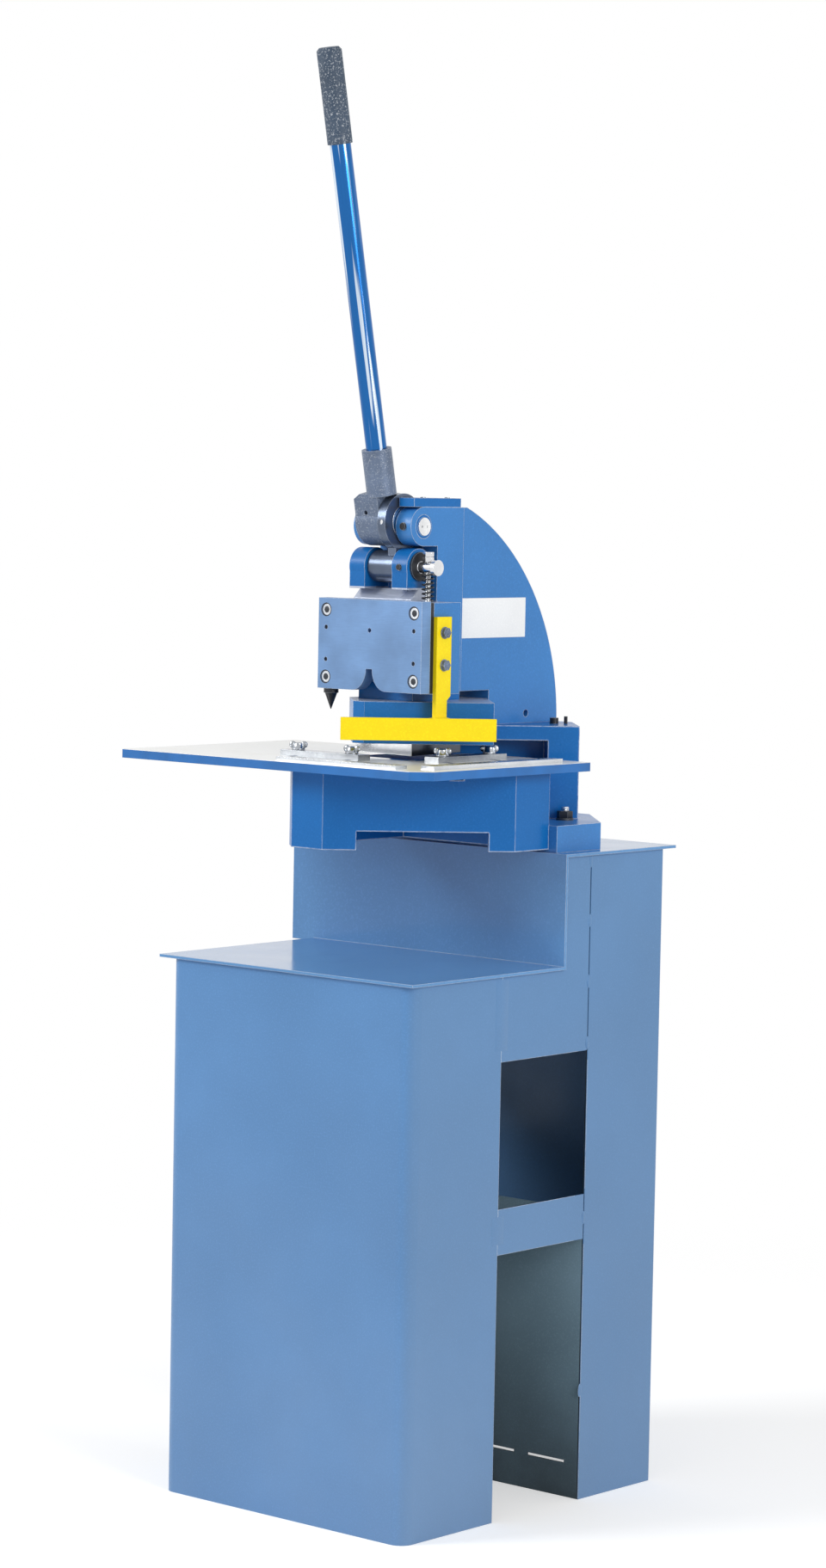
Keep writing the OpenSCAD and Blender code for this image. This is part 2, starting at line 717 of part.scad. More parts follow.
module guide_block() color(machine_paint) place() difference() {
    union() {
        rise(guide_bot, guide_top) intersection() {
            guide_plan();
            dp_strip(-300, 300, -guide_front - 1, column_w);
        }
        rise(column_top, guide_top) guide_plan();
    }
    rise(guide_bot - 1, guide_top + 1) punch_square(guide_fit);
    for (p = guide_screw_at) {
        rod_z(column_top - 1, guide_top, p[0], p[1], 8);
        rod_z(guide_top - 9, guide_top + 1, p[0], p[1], 13);
    }
}

module guide_screws() color(steel) place()
    for (p = guide_screw_at) translate([p[0], p[1], guide_top - screw_gap]) cap_screw(8, 42);

// Head casting of slide housing, upper head, fork and curved web
module fork_ear() {
    translate([pivot_y, pivot_z]) circle(ear_r);
    translate([pivot_y, pivot_z - ear_r]) square([head_front - pivot_y + 1, head_top - pivot_z + ear_r]);
}

module web_profile() intersection() {
    translate([back_y - back_r, column_top]) circle(back_r, $fn = 160);
    polygon([[head_step - 2, housing_bot], [foot_front, housing_bot], [foot_front, column_top],
        [back_y + 1, column_top], [back_y + 1, head_top], [head_step - 2, head_top]]);
}

module fork_pocket() {
    translate([pivot_y, pivot_z]) circle(pocket_r);
    translate([pivot_y - 2 * ear_r, pivot_z]) square([2 * ear_r + pocket_r, 2 * ear_r]);
}

module head() color(machine_paint) place() difference() {
    union() {
        translate([housing_l, housing_front, housing_bot])
            cube([housing_w, housing_back - housing_front, housing_top - housing_bot]);
        translate([head_l, head_front, housing_bot])
            cube([head_w, head_step - head_front, head_top - housing_bot]);
        along_x(head_l + web_inset, web_t) web_profile();
        along_x(head_l, head_w) fork_ear();
    }
    translate([gib_left - run_gap, housing_front - 1, housing_bot - 1])
        cube([ram_r + ram_fit - gib_left + run_gap, ram_back + ram_fit - housing_front + 1,
              housing_top - housing_bot + 2]);
    along_x(slot_l, head_r - ear_t - slot_l) fork_pocket();
    rod_x(head_l - 1, head_r + 1, pivot_y, pivot_z, bush_d);
    rod_y(pivot_y - ear_r - 1, pivot_y, head_r - ear_t / 2, pivot_z, bush_screw_d);
    for (p = plate_screw_at) rod_y(housing_front - 1, housing_front + 16, p[0], p[1], plate_screw_d);
    for (p = dowel_at) rod_y(housing_front - 1, housing_front + dowel_in + 1, p[0], p[1], dowel_d);
    for (z = guard_screw_z) rod_x(housing_r - 16, housing_r + 1, guard_y, z, guard_screw_d);
    for (z = gib_screw_z) rod_x(housing_l - 1, gib_left, gib_y, z, 8);
    for (p = head_bolt_at) {
        rod_z(column_top - 1, head_top, p[0], p[1], 12);
        rod_z(column_top + 24, head_top, p[0], p[1], 19);
    }
    for (p = stop_screw_at) rod_z(head_top - 11, head_top + 1, p[0], p[1], 6);
    rod_x(head_l, head_r, cross_hole_y, column_top + 13, 10);
    rod_z(housing_top - 20, housing_top + 1, stud_px, ram_pin_y, stud_d);
}

module head_bolts() color(dark_steel) place()
    for (p = head_bolt_at) translate([p[0], p[1], column_top + 36]) cap_screw(12, 58);

// Strips that hold the slide in its housing
module keeper_strips() color(dark_steel) place() for (side = [-1, 1]) difference() {
    translate([side < 0 ? housing_l : ram_r - keeper_lap, keeper_y, plate_bot])
        cube([(housing_w - ram_w) / 2 + keeper_lap, keeper_t, housing_top - plate_bot]);
    for (p = plate_screw_at) rod_y(keeper_y - 1, housing_front + 1, p[0], p[1], plate_screw_d);
    for (p = dowel_at) rod_y(keeper_y - 1, housing_front + 1, p[0], p[1], dowel_d);
}

// Outline of the front plate with its bell shaped notch
module mouth() difference() {
    translate([head_c - mouth_w / 2 - mouth_r, plate_bot - 1]) square([mouth_w + 2 * mouth_r, mouth_h + 1]);
    for (side = [-1, 1]) translate([head_c + side * (mouth_w / 2 + mouth_r), plate_bot + mouth_h])
        scale([1, mouth_h / mouth_r]) circle(mouth_r);
}

module front_plate() color("#7f93a6") place() difference() {
    along_y(front_y, plate_t) difference() {
        translate([housing_l, plate_bot]) square([housing_w, plate_top - plate_bot]);
        mouth();
    }
    rod_y(front_y - 1, keeper_y + 1, head_c, plate_top - 41, dowel_d);
    for (p = plate_screw_at) {
        rod_y(front_y - 1, keeper_y + 1, p[0], p[1], plate_screw_d);
        rod_y(front_y - 1, front_y + plate_screw_d + screw_gap, p[0], p[1], 1.5 * plate_screw_d + 1);
    }
    for (p = dowel_at) rod_y(front_y - 1, keeper_y + 1, p[0], p[1], dowel_d);
}

module front_plate_screws() color(dark_steel) place()
    for (p = plate_screw_at) translate([p[0], front_y + screw_gap, p[1]])
        rotate([90, 0, 0]) cap_screw(plate_screw_d, keeper_t + plate_t);

module front_plate_dowels() color(steel) place()
    for (p = dowel_at) rod_y(front_y + 2, housing_front + dowel_in, p[0], p[1], dowel_d);

// Pointed pin under the front plate's left end
module pointer() color("#1d1f22") place() {
    translate([pointer_x, front_y + plate_t / 2, plate_bot - 6]) cylinder(h = 6, d = 20);
    translate([pointer_x, front_y + plate_t / 2, plate_bot - 28]) cylinder(h = 22 + eps, d1 = 1, d2 = 17);
}

// Slide with its clevis above and its punch holder below
module slide_profile() polygon([
    [ram_front, ram_bot], [ram_back, ram_bot], [ram_back, ram_top],
    [ram_front + ram_top - ram_shoulder, ram_top], [ram_front, ram_shoulder]]);

module slide() color(machine_paint) place() difference() {
    union() {
        translate([ram_l, ram_front, ram_bot]) cube([ram_w, ram_t, housing_top - ram_bot - 2]);
        along_x(head_l, head_w) slide_profile();
        for (side = [0, 1]) along_x(side * (head_w - ear_t) + head_l, ear_t) {
            translate([ram_pin_y, ram_pin_z]) circle(ram_ear_r);
            translate([ram_pin_y - ram_ear_w / 2, ram_top - 1])
                square([ram_ear_w, ram_pin_z - ram_top + 1]);
        }
        translate([-punch_x - notch + 2, punch_y + 2, punch_top])
            cube([notch - 4, notch - 4, housing_bot - punch_top - 2]);
        translate([-punch_x - notch + 2, punch_y + 2, punch_top])
            cube([notch - 4, ram_back - punch_y - 2, ram_bot - punch_top + 1]);
    }
    rod_x(head_l - 1, head_r + 1, ram_pin_y, ram_pin_z, ram_pin_d);
    rod_y(ram_pin_y - ram_ear_r - 1, ram_pin_y, head_r - ear_t / 2, ram_pin_z, 8);
    for (x = punch_screw_x) rod_z(punch_top - 1, punch_top + 24, x, punch_screw_y, 8);
}

module gib() color(steel) place()
    translate([gib_left, housing_front + 0.2, housing_bot + 2])
        cube([gib_t, ram_t - 0.4, housing_top - housing_bot - 4]);

module gib_screws() color(dark_steel) place()
    for (z = gib_screw_z) rod_x(housing_l - 13, gib_left, gib_y, z, 8);

module gib_nuts() color(steel) place()
    for (z = gib_screw_z) translate([housing_l - 6.5, gib_y, z]) rotate([0, 90, 0]) difference() {
        hex_prism(6.5, 13);
        translate([0, 0, -1]) cylinder(h = 9, d = 8);
    }

// Square punch, its cutting face sloped away from the operator's corner
module punch() color(steel) place() difference() {
    rise(punch_bot, punch_top) punch_square(0);
    translate([-punch_x, punch_y, punch_bot]) rotate([0, 0, 45]) rotate([atan(punch_shear / notch), 0, 0])
        translate([-notch, -notch / 4, -notch]) cube([2 * notch, 2 * notch, notch]);
    for (x = punch_screw_x) {
        rod_z(punch_bot - 1, punch_top + 1, x, punch_screw_y, 8);
        rod_z(punch_bot - 1, punch_top - 20, x, punch_screw_y, 14);
    }
}

module punch_screws() color(dark_steel) place()
    for (x = punch_screw_x) translate([x, punch_screw_y, punch_top - 28])
        rotate([180, 0, 0]) cap_screw(8, 38);

// Pin of the slide with its outer neck and end disc
module slide_pin() color(steel) place() difference() {
    union() {
        rod_x(head_l - 3, head_r + 4, ram_pin_y, ram_pin_z, ram_pin_d);
        rod_x(head_r + 4 - eps, stud_px + 12, ram_pin_y, ram_pin_z, neck_d);
        rod_x(stud_px + 12 - eps, stud_px + 18, ram_pin_y, ram_pin_z, 21.5);
    }
    rod_z(ram_pin_z - neck_d, ram_pin_z + neck_d, stud_px, ram_pin_y, stud_d + 1);
}

module pin_sleeves() color(steel) place()
    for (x0 = [head_c - slot_r, link_r + run_gap]) difference() {
        rod_x(x0, x0 + sleeve_t, ram_pin_y, ram_pin_z, sleeve_d);
        rod_x(x0 - 1, x0 + sleeve_t + 1, ram_pin_y, ram_pin_z, ram_pin_d);
    }

module pin_lock_screw() color(dark_steel) place()
    rod_y(ram_pin_y - ram_ear_r - 2, ram_pin_y - ram_pin_d / 2, head_r - ear_t / 2, ram_pin_z, 8);

// Bearing bushes in the fork
module fork_bushes() color("#8c7a45") place()
    for (b = [[head_l, left_ear_t], [head_r - ear_t, ear_t]]) difference() {
        rod_x(b[0], b[0] + b[1], pivot_y, pivot_z, bush_d);
        rod_x(b[0] - 1, b[0] + b[1] + 1, pivot_y, pivot_z, shaft_d + 2 * shaft_fit);
    }

module bush_screw() color(dark_steel) place()
    rod_y(pivot_y - ear_r - 2, pivot_y - bush_d / 2, head_r - ear_t / 2, pivot_z, bush_screw_d);

// Shaft and eccentric in one piece, with two spanner holes in the right end
module eccentric_shaft() color(steel) place() difference() {
    union() {
        rod_x(head_l - 2, head_r + 2, pivot_y, pivot_z, shaft_d);
        rod_x(hub_right, link_r + run_gap, ecc_y, ecc_z, 2 * ecc_r);
    }
    for (y = [-5, 5]) rod_x(head_r - 2, head_r + 3, pivot_y + y, pivot_z, 3);
}

// Connecting link beside the hub, with a wide small end on the slide's pin
module link() color(dark_steel) place() difference() {
    union() {
        along_x(link_l, link_t) {
            translate([ecc_y, ecc_z]) circle(strap_r);
            translate([ecc_y - neck_w / 2, ram_pin_z]) square([neck_w, ecc_z - ram_pin_z]);
        }
        rod_x(eye_l, link_r, ecc_y, ram_pin_z, 2 * eye_r);
    }
    rod_x(link_l - 1, link_r + 1, ecc_y, ecc_z, 2 * ecc_r + 4 * shaft_fit);
    rod_x(eye_l - 1, link_r + 1, ecc_y, ram_pin_z, ram_pin_d + 2 * eye_play);
    rod_y(ecc_y - strap_r - 1, ecc_y - ecc_r, (link_l + link_r) / 2, ecc_z, plug_d);
}

module link_plug() color(steel) place()
    rod_y(ecc_y - strap_r + 1, ecc_y - ecc_r - 2, (link_l + link_r) / 2, ecc_z, plug_d);

// Hub of the lever: barrel on the shaft, lug against the stop, shoulder under the socket
module hub_profile() {
    translate([pivot_y - hub_y, pivot_z + hub_z]) circle(hub_r);
    translate([pivot_y, head_top + 1.5]) square([stop_front - rest_gap - pivot_y, lug_h]);
}

// Moves along the lever's line: Z points from the pivot to the grip
module on_lever(s) translate([head_c, pivot_y - lever_off * cos(lever_lean), pivot_z - lever_off * sin(lever_lean)])
    rotate([lever_lean, 0, 0]) translate([0, 0, s]) children();

module lever_hub() color(dark_steel) place() difference() {
    union() {
        along_x(hub_l, hub_right - hub_l) hub_profile();
        on_lever(0) rotate([90, 0, 0]) linear_extrude(socket_d - 4, center = true) polygon([
            [hub_l + 1 - head_c, shoulder_s], [hub_right - 1 - head_c, shoulder_s],
            [hub_right - 1 - head_c, socket_start + 4], [-socket_d / 2 - 4, socket_start + 4],
            [hub_l + 1 - head_c, socket_start - 3]]);
        on_lever(socket_start) cylinder(h = socket_end - socket_start, d = socket_d);
    }
    rod_x(head_l, head_r, pivot_y, pivot_z, shaft_d);
    on_lever(tube_start) cylinder(h = socket_end, d = tube_d);
    rod_y(pivot_y - hub_r - 2 * hub_y, pivot_y - shaft_d / 2, oil_x, pivot_z + 2 * hub_z, plug_d);
}

module lever_tube() color("#aab7cc") place() on_lever(tube_start) difference() {
    cylinder(h = lever_len - tube_start - 6, d = tube_d);
    translate([0, 0, -1]) cylinder(h = lever_len, d = tube_d - 2 * tube_wall);
}

module grip() color("#3c4656") place() on_lever(lever_len - grip_len) difference() {
    union() {
        cylinder(h = grip_len - 4, d = grip_d);
        translate([0, 0, grip_len - 4 - eps]) cylinder(h = 4, d1 = grip_d, d2 = grip_d - 7);
    }
    translate([0, 0, -1]) cylinder(h = grip_len - 5, d = tube_d);
}

// Threaded stop beside the slide's pin, with its two locked nuts and the return spring
module stop_stud() color(steel) place()
    rod_z(housing_top - 20, ram_pin_z + 40, stud_px, ram_pin_y, stud_d);

module stop_nuts() color(steel) place()
    for (k = [0, 1]) translate([stud_px, ram_pin_y, ram_pin_z + neck_d / 2 + run_gap + k * 6.7])
        difference() {
            hex_prism(6.5, 13);
            translate([0, 0, -1]) cylinder(h = 9, d = stud_d);
        }

spring_r = (spring_d - spring_wire) / 2;
spring_lo = housing_top + spring_wire / 2;
spring_hi = ram_pin_z - neck_d / 2 - spring_wire / 2;
spring_rings = 8;
spring_sides = 6;
spring_n = spring_turns * spring_rings;
function spring_at(k) = let (a = 360 * k / spring_rings)
    [spring_r * cos(a), spring_r * sin(a), spring_lo + (spring_hi - spring_lo) * k / spring_n];
function spring_ring(k) = let (a = 360 * k / spring_rings, c = spring_at(k))
    [for (j = [0 : spring_sides - 1]) let (b = 360 * j / spring_sides)
        c + spring_wire / 2 * [cos(b) * cos(a), cos(b) * sin(a), sin(b)]];
spring_gap = min([for (k = [0 : spring_n - spring_rings]) for (j = [k + spring_rings - 2 : spring_n])
    norm(spring_at(k) - spring_at(j))]) - spring_wire;
echo(spring_gap = spring_gap);

module return_spring() color(steel) place() translate([stud_px, ram_pin_y, 0]) polyhedron(
    points = [for (k = [0 : spring_n]) each spring_ring(k)],
    faces = concat(
        [for (j = [1 : spring_sides - 2]) [0, j, j + 1]],
        [for (j = [1 : spring_sides - 2])
            [0, j + 1, j] + spring_n * spring_sides * [1, 1, 1]],
        [for (k = [0 : spring_n - 1], j = [0 : spring_sides - 1])
            [j, (j + 1) % spring_sides, j + spring_sides] + k * spring_sides * [1, 1, 1]],
        [for (k = [0 : spring_n - 1], j = [0 : spring_sides - 1])
            [(j + 1) % spring_sides, (j + 1) % spring_sides + spring_sides, j + spring_sides]
                + k * spring_sides * [1, 1, 1]]));

// Plate on the head that the lever's hub rests against
module lever_stop() color(dark_steel) place() difference() {
    translate([head_l, 181, head_top]) cube([head_w, 95, 12]);
    translate([slot_l - 0.5, 180, head_top - 1])
        cube([head_r - ear_t + 1 - slot_l, stop_front - 180, 14]);
    for (p = stop_screw_at) rod_z(head_top - 1, head_top + 13, p[0], p[1], 6);
}

module lever_stop_screws() color(steel) place()
    for (p = stop_screw_at) translate([p[0], p[1], head_top + 18]) cap_screw(6, 22);

// Hand guard: strap on the housing, arm and bar in front of the punch
module guard() color(guard_paint) place() {
    difference() {
        along_x(housing_r, guard_t) polygon([
            [housing_front, guard_arm], [housing_front, strap_top],
            [housing_front + strap_w, strap_top], [housing_front + strap_w, guide_top + 9],
            [housing_front + strap_w - 7, guide_top + 3], [housing_front + strap_w - 7, guard_arm]]);
        for (z = guard_screw_z) rod_x(housing_r - 1, housing_r + guard_t + 1, guard_y, z, guard_screw_d + 0.5);
    }
    rise(guard_arm, guard_arm + guard_t) polygon([
        [housing_r, housing_front], dp(17, -guard_w - 1), dp(47, -guard_w - 1),
        [housing_r + guard_t, housing_front + strap_w - 7], [housing_r, housing_front + strap_w - 7]]);
    rise(guard_bot, guard_bot + bar_depth) dp_strip(-guard_l, guard_r, -guard_w - guard_t, -guard_w);
}

module guard_screws() color(steel) place()
    for (z = guard_screw_z) translate([housing_r + guard_t + 10, guard_y, z])
        rotate([0, 90, 0]) cap_screw(guard_screw_d, 20);

module right_scale() color(steel) place()
    translate([-46, 62, table_h]) cube([scale_w, scale_r_len, scale_t]);

module left_scale() color(steel) place()
    translate([-60 - scale_l_len, 28, table_h]) cube([scale_l_len, scale_w, scale_t]);

// Stop bar with its two clamp screw holes, lying along X or along Y
module stop_bar(mid, clamps, size) difference() {
    translate([mid[0] - size[0] / 2, mid[1] - size[1] / 2, table_h]) cube([size[0], size[1], stop_t]);
    for (p = clamps) rod_z(table_h - 1, table_h + stop_t + 1, p[0], p[1], clamp_d + 0.2);
}

module right_stop() color(steel) place()
    stop_bar(right_stop_at, right_clamp_at, [stop_w, stop_len]);
module left_stop() color(steel) place()
    stop_bar(left_stop_at, left_clamp_at, [stop_len, stop_w]);

// Knurled clamp screw through a stop bar and the table
module clamp_screw(p) translate([p[0], p[1], 0]) {
    head_bot = table_h + stop_t + 0.5;
    translate([0, 0, table_bot - nut_h]) cylinder(h = head_bot - table_bot + nut_h + eps, d = clamp_d);
    translate([0, 0, head_bot]) cylinder(h = 3, d = clamp_head_d - 8);
    translate([0, 0, head_bot + 3 - eps]) cylinder(h = 8, d = clamp_head_d);
}

module right_clamp_front() color(steel) place() clamp_screw(right_clamp_at[0]);
module right_clamp_rear() color(steel) place() clamp_screw(right_clamp_at[1]);
module left_clamp_inner() color(steel) place() clamp_screw(left_clamp_at[0]);
module left_clamp_outer() color(steel) place() clamp_screw(left_clamp_at[1]);

module clamp_nut(p) difference() {
    translate([p[0] - nut_w / 2, p[1] - nut_w / 2, table_bot - nut_h]) cube([nut_w, nut_w, nut_h]);
    rod_z(table_bot - nut_h - 1, table_bot + 1, p[0], p[1], clamp_d + 0.2);
}

module right_clamp_nuts() color(steel) place() for (p = right_clamp_at) clamp_nut(p);
module left_clamp_nuts() color(steel) place() for (p = left_clamp_at) clamp_nut(p);

front_leg();
rear_leg();
rear_panel();
top_sheet();
right_side_panel();
left_side_panel();
right_cross_bar();
left_cross_bar();
base_plate();
base_bolts();
base_nuts();
bed();
column_bolts();
table();
table_screws();
die_plate();
die_screws();
guide_block();
guide_screws();
head();
head_bolts();
keeper_strips();
front_plate();
front_plate_screws();
front_plate_dowels();
pointer();
slide();
gib();
gib_screws();
gib_nuts();
punch();
punch_screws();
slide_pin();
pin_sleeves();
pin_lock_screw();
fork_bushes();
bush_screw();
eccentric_shaft();
link();
link_plug();
lever_hub();
lever_tube();
grip();
stop_stud();
stop_nuts();
return_spring();
lever_stop();
lever_stop_screws();
guard();
guard_screws();
right_scale();
left_scale();
right_stop();
left_stop();
right_clamp_front();
right_clamp_rear();
left_clamp_inner();
left_clamp_outer();
right_clamp_nuts();
left_clamp_nuts();
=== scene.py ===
import bpy, bmesh
from math import radians, pi, cos, sin
from mathutils import Matrix, Vector, Euler


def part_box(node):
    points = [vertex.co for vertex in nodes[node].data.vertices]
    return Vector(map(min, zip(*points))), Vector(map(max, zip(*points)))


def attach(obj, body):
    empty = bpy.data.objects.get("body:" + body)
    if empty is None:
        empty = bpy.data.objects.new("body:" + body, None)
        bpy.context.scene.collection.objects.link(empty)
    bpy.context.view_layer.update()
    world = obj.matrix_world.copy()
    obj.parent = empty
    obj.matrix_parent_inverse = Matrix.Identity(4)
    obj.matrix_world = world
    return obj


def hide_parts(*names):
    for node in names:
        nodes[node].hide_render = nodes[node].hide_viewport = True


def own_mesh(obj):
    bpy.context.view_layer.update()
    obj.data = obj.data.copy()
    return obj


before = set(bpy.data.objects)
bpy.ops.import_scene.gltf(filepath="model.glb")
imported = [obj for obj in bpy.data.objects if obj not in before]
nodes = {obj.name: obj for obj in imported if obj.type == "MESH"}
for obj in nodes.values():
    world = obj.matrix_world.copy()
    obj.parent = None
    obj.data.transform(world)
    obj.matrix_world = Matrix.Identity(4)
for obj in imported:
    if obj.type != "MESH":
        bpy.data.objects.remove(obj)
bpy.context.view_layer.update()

# CAD sizes are in mm from the stand's near right corner, this brings them into the frame in metres
standCorner = Vector((269.5, -266.5, 0))


def at(x, y, z):
    return (Vector((x, y, z)) + standCorner) / 1000


# Camera, floor and light
cameraSetup = {"place": (3.7441, -4.2569, 1.3770), "turn": 41.09, "lookDown": 4.22, "roll": 1.08, "lens": 95.86}


def addCamera(c):
    data = bpy.data.cameras.new("camera")
    data.lens, data.sensor_width, data.clip_end = c["lens"], 36, 60
    camera = bpy.data.objects.new("camera", data)
    aim = Matrix.Rotation(radians(c["turn"]), 4, "Z") @ Matrix.Rotation(radians(90 - c["lookDown"]), 4, "X")
    camera.matrix_world = Matrix.Translation(c["place"]) @ aim @ Matrix.Rotation(radians(c["roll"]), 4, "Z")
    bpy.context.collection.objects.link(camera)
    bpy.context.scene.camera = camera


studio = {
    "keyPower": 125, "keyPlace": (-2.2, -3.4, 3.2), "keySize": 2.2,
    "sidePower": 78, "sidePlace": (3.8, -0.6, 2.2), "sideSize": 2.2,
    "skyStrength": 0.5, "floorSize": 12, "floorColour": (0.86, 0.86, 0.86), "floorGlow": 0.34,
    "shadowReach": (0.9, 2.2),
}


def nodeTree(owner):
    owner.use_nodes = True
    tree = owner.node_tree
    tree.nodes.clear()
    return tree


def addNode(tree, kind, inputs=None, **settings):
    node = tree.nodes.new(kind)
    for name, value in settings.items():
        setattr(node, name, value)
    for name, value in (inputs or {}).items():
        if isinstance(value, bpy.types.NodeSocket):
            tree.links.new(value, node.inputs[name])
        else:
            node.inputs[name].default_value = value
    return node


def seenDirectly(tree):
    rays = addNode(tree, "ShaderNodeLightPath").outputs
    mirror = addNode(tree, "ShaderNodeMath", {0: rays["Is Camera Ray"], 1: rays["Is Glossy Ray"]}, operation="ADD")
    direct = addNode(tree, "ShaderNodeMath", {0: mirror.outputs[0], 1: rays["Is Transmission Ray"]},
                     operation="ADD", use_clamp=True)
    return direct.outputs[0]


def addLamp(name, place, size, power, target=(0, 0, 1.0)):
    data = bpy.data.lights.new(name, "AREA")
    data.shape, data.size, data.energy = "DISK", size, power
    lamp = bpy.data.objects.new(name, data)
    lamp.location = place
    lamp.rotation_euler = (Vector(target) - Vector(place)).to_track_quat("-Z", "Y").to_euler()
    bpy.context.collection.objects.link(lamp)


def addStudio(s):
    world = bpy.data.worlds.new("paleRoom")
    bpy.context.scene.world = world
    tree = nodeTree(world)
    strength = addNode(tree, "ShaderNodeMapRange",
                       {"Value": seenDirectly(tree), "To Min": s["skyStrength"], "To Max": 1.0})
    sky = addNode(tree, "ShaderNodeBackground", {"Color": (1, 1, 1, 1), "Strength": strength.outputs[0]})
    out = addNode(tree, "ShaderNodeOutputWorld")
    tree.links.new(sky.outputs[0], out.inputs[0])
    addLamp("keyLamp", s["keyPlace"], s["keySize"], s["keyPower"])
    addLamp("sideLamp", s["sidePlace"], s["sideSize"], s["sidePower"])
    bm = bmesh.new()
    bmesh.ops.create_grid(bm, x_segments=1, y_segments=1, size=s["floorSize"])
    mesh = bpy.data.meshes.new("floor")
    bm.to_mesh(mesh)
    floor = bpy.data.objects.new("floor", mesh)
    bpy.context.collection.objects.link(floor)
    material = bpy.data.materials.new("paleFloor")
    tree = nodeTree(material)
    matte = addNode(tree, "ShaderNodeBsdfDiffuse", {"Color": (*s["floorColour"], 1)})
    seen = addNode(tree, "ShaderNodeMapRange", {"Value": seenDirectly(tree), "To Min": 0.0, "To Max": s["floorGlow"]})
    glow = addNode(tree, "ShaderNodeEmission", {"Strength": seen.outputs[0]})
    near = addNode(tree, "ShaderNodeAddShader", {0: matte.outputs[0], 1: glow.outputs[0]})
    white = addNode(tree, "ShaderNodeEmission", {"Strength": 1.0})
    # away from the object the floor runs into the white background, but only where it is seen directly
    place = addNode(tree, "ShaderNodeTexCoord").outputs["Object"]
    away = addNode(tree, "ShaderNodeVectorMath", {0: place}, operation="LENGTH")
    nearEdge, farEdge = s["shadowReach"]
    far = addNode(tree, "ShaderNodeMapRange",
                  {"Value": away.outputs["Value"], "From Min": nearEdge, "From Max": farEdge},
                  interpolation_type="SMOOTHSTEP")
    share = addNode(tree, "ShaderNodeMath", {0: far.outputs[0], 1: seenDirectly(tree)}, operation="MULTIPLY")
    both = addNode(tree, "ShaderNodeMixShader", {0: share.outputs[0], 1: near.outputs[0], 2: white.outputs[0]})
    out = addNode(tree, "ShaderNodeOutputMaterial", {"Surface": both.outputs[0]})
    mesh.materials.append(material)


bpy.context.scene.view_settings.view_transform = "Standard"
addCamera(cameraSetup)
addStudio(studio)
print("camera, floor and light are set")


# Finishes
def start(name):
    material = bpy.data.materials.new(name)
    tree = nodeTree(material)
    shader = addNode(tree, "ShaderNodeBsdfPrincipled")
    addNode(tree, "ShaderNodeOutputMaterial", {"Surface": shader.outputs[0]})
    place = addNode(tree, "ShaderNodeTexCoord").outputs["Object"]
    return material, tree, shader, place


def noise(tree, place, scale, detail=3, rough=0.5):
    inputs = {"Vector": place, "Scale": scale, "Detail": detail, "Roughness": rough}
    return addNode(tree, "ShaderNodeTexNoise", inputs).outputs["Fac"]


def ramp(tree, value, low, high, first=0.0, last=1.0):
    inputs = {"Value": value, "From Min": low, "From Max": high, "To Min": first, "To Max": last}
    return addNode(tree, "ShaderNodeMapRange", inputs).outputs[0]


def blend(tree, amount, first, second):
    node = addNode(tree, "ShaderNodeMix", data_type="RGBA")
    for socket, value in ((node.inputs[0], amount), (node.inputs[6], first), (node.inputs[7], second)):
        if isinstance(value, bpy.types.NodeSocket):
            tree.links.new(value, socket)
        else:
            socket.default_value = value if isinstance(value, float) else (*value, 1)
    return node.outputs[2]


def times(tree, a, b):
    return addNode(tree, "ShaderNodeMath", {0: a, 1: b}, operation="MULTIPLY").outputs[0]


def finishSurface(tree, shader, height, strength, distance, soften):
    rounded = addNode(tree, "ShaderNodeBevel", {"Radius": soften}, samples=4)
    bump = addNode(tree, "ShaderNodeBump",
                   {"Height": height, "Strength": strength, "Distance": distance, "Normal": rounded.outputs[0]})
    tree.links.new(bump.outputs[0], shader.inputs["Normal"])


def edgeMask(tree, radius, low, high):
    # 1 along the sharp edges, where the rounded normal turns away from the true one
    rounded = addNode(tree, "ShaderNodeBevel", {"Radius": radius}, samples=6)
    true = addNode(tree, "ShaderNodeNewGeometry").outputs["Normal"]
    same = addNode(tree, "ShaderNodeVectorMath", {0: rounded.outputs[0], 1: true}, operation="DOT_PRODUCT")
    return ramp(tree, same.outputs["Value"], high, low)


def band(tree, value, low, high, soft=0.0002):
    return times(tree, ramp(tree, value, low - soft, low), ramp(tree, value, high + soft, high))


def insideBoxes(tree, place, boxes):
    # 1 inside the given boxes, whose corners are CAD sizes in mm
    axes = addNode(tree, "ShaderNodeSeparateXYZ", {"Vector": place})
    mask = 0.0
    for corners in boxes:
        here = 1.0
        for axis, low, high in zip("XYZ", at(*corners[0]), at(*corners[1])):
            here = times(tree, here, band(tree, axes.outputs[axis], low, high))
        mask = addNode(tree, "ShaderNodeMath", {0: here, 1: mask}, operation="MAXIMUM").outputs[0]
    return mask


def towardsRight(tree, low, high):
    # how far a face is turned to +X
    normal = addNode(tree, "ShaderNodeNewGeometry").outputs["Normal"]
    return ramp(tree, addNode(tree, "ShaderNodeSeparateXYZ", {"Vector": normal}).outputs["X"], low, high)


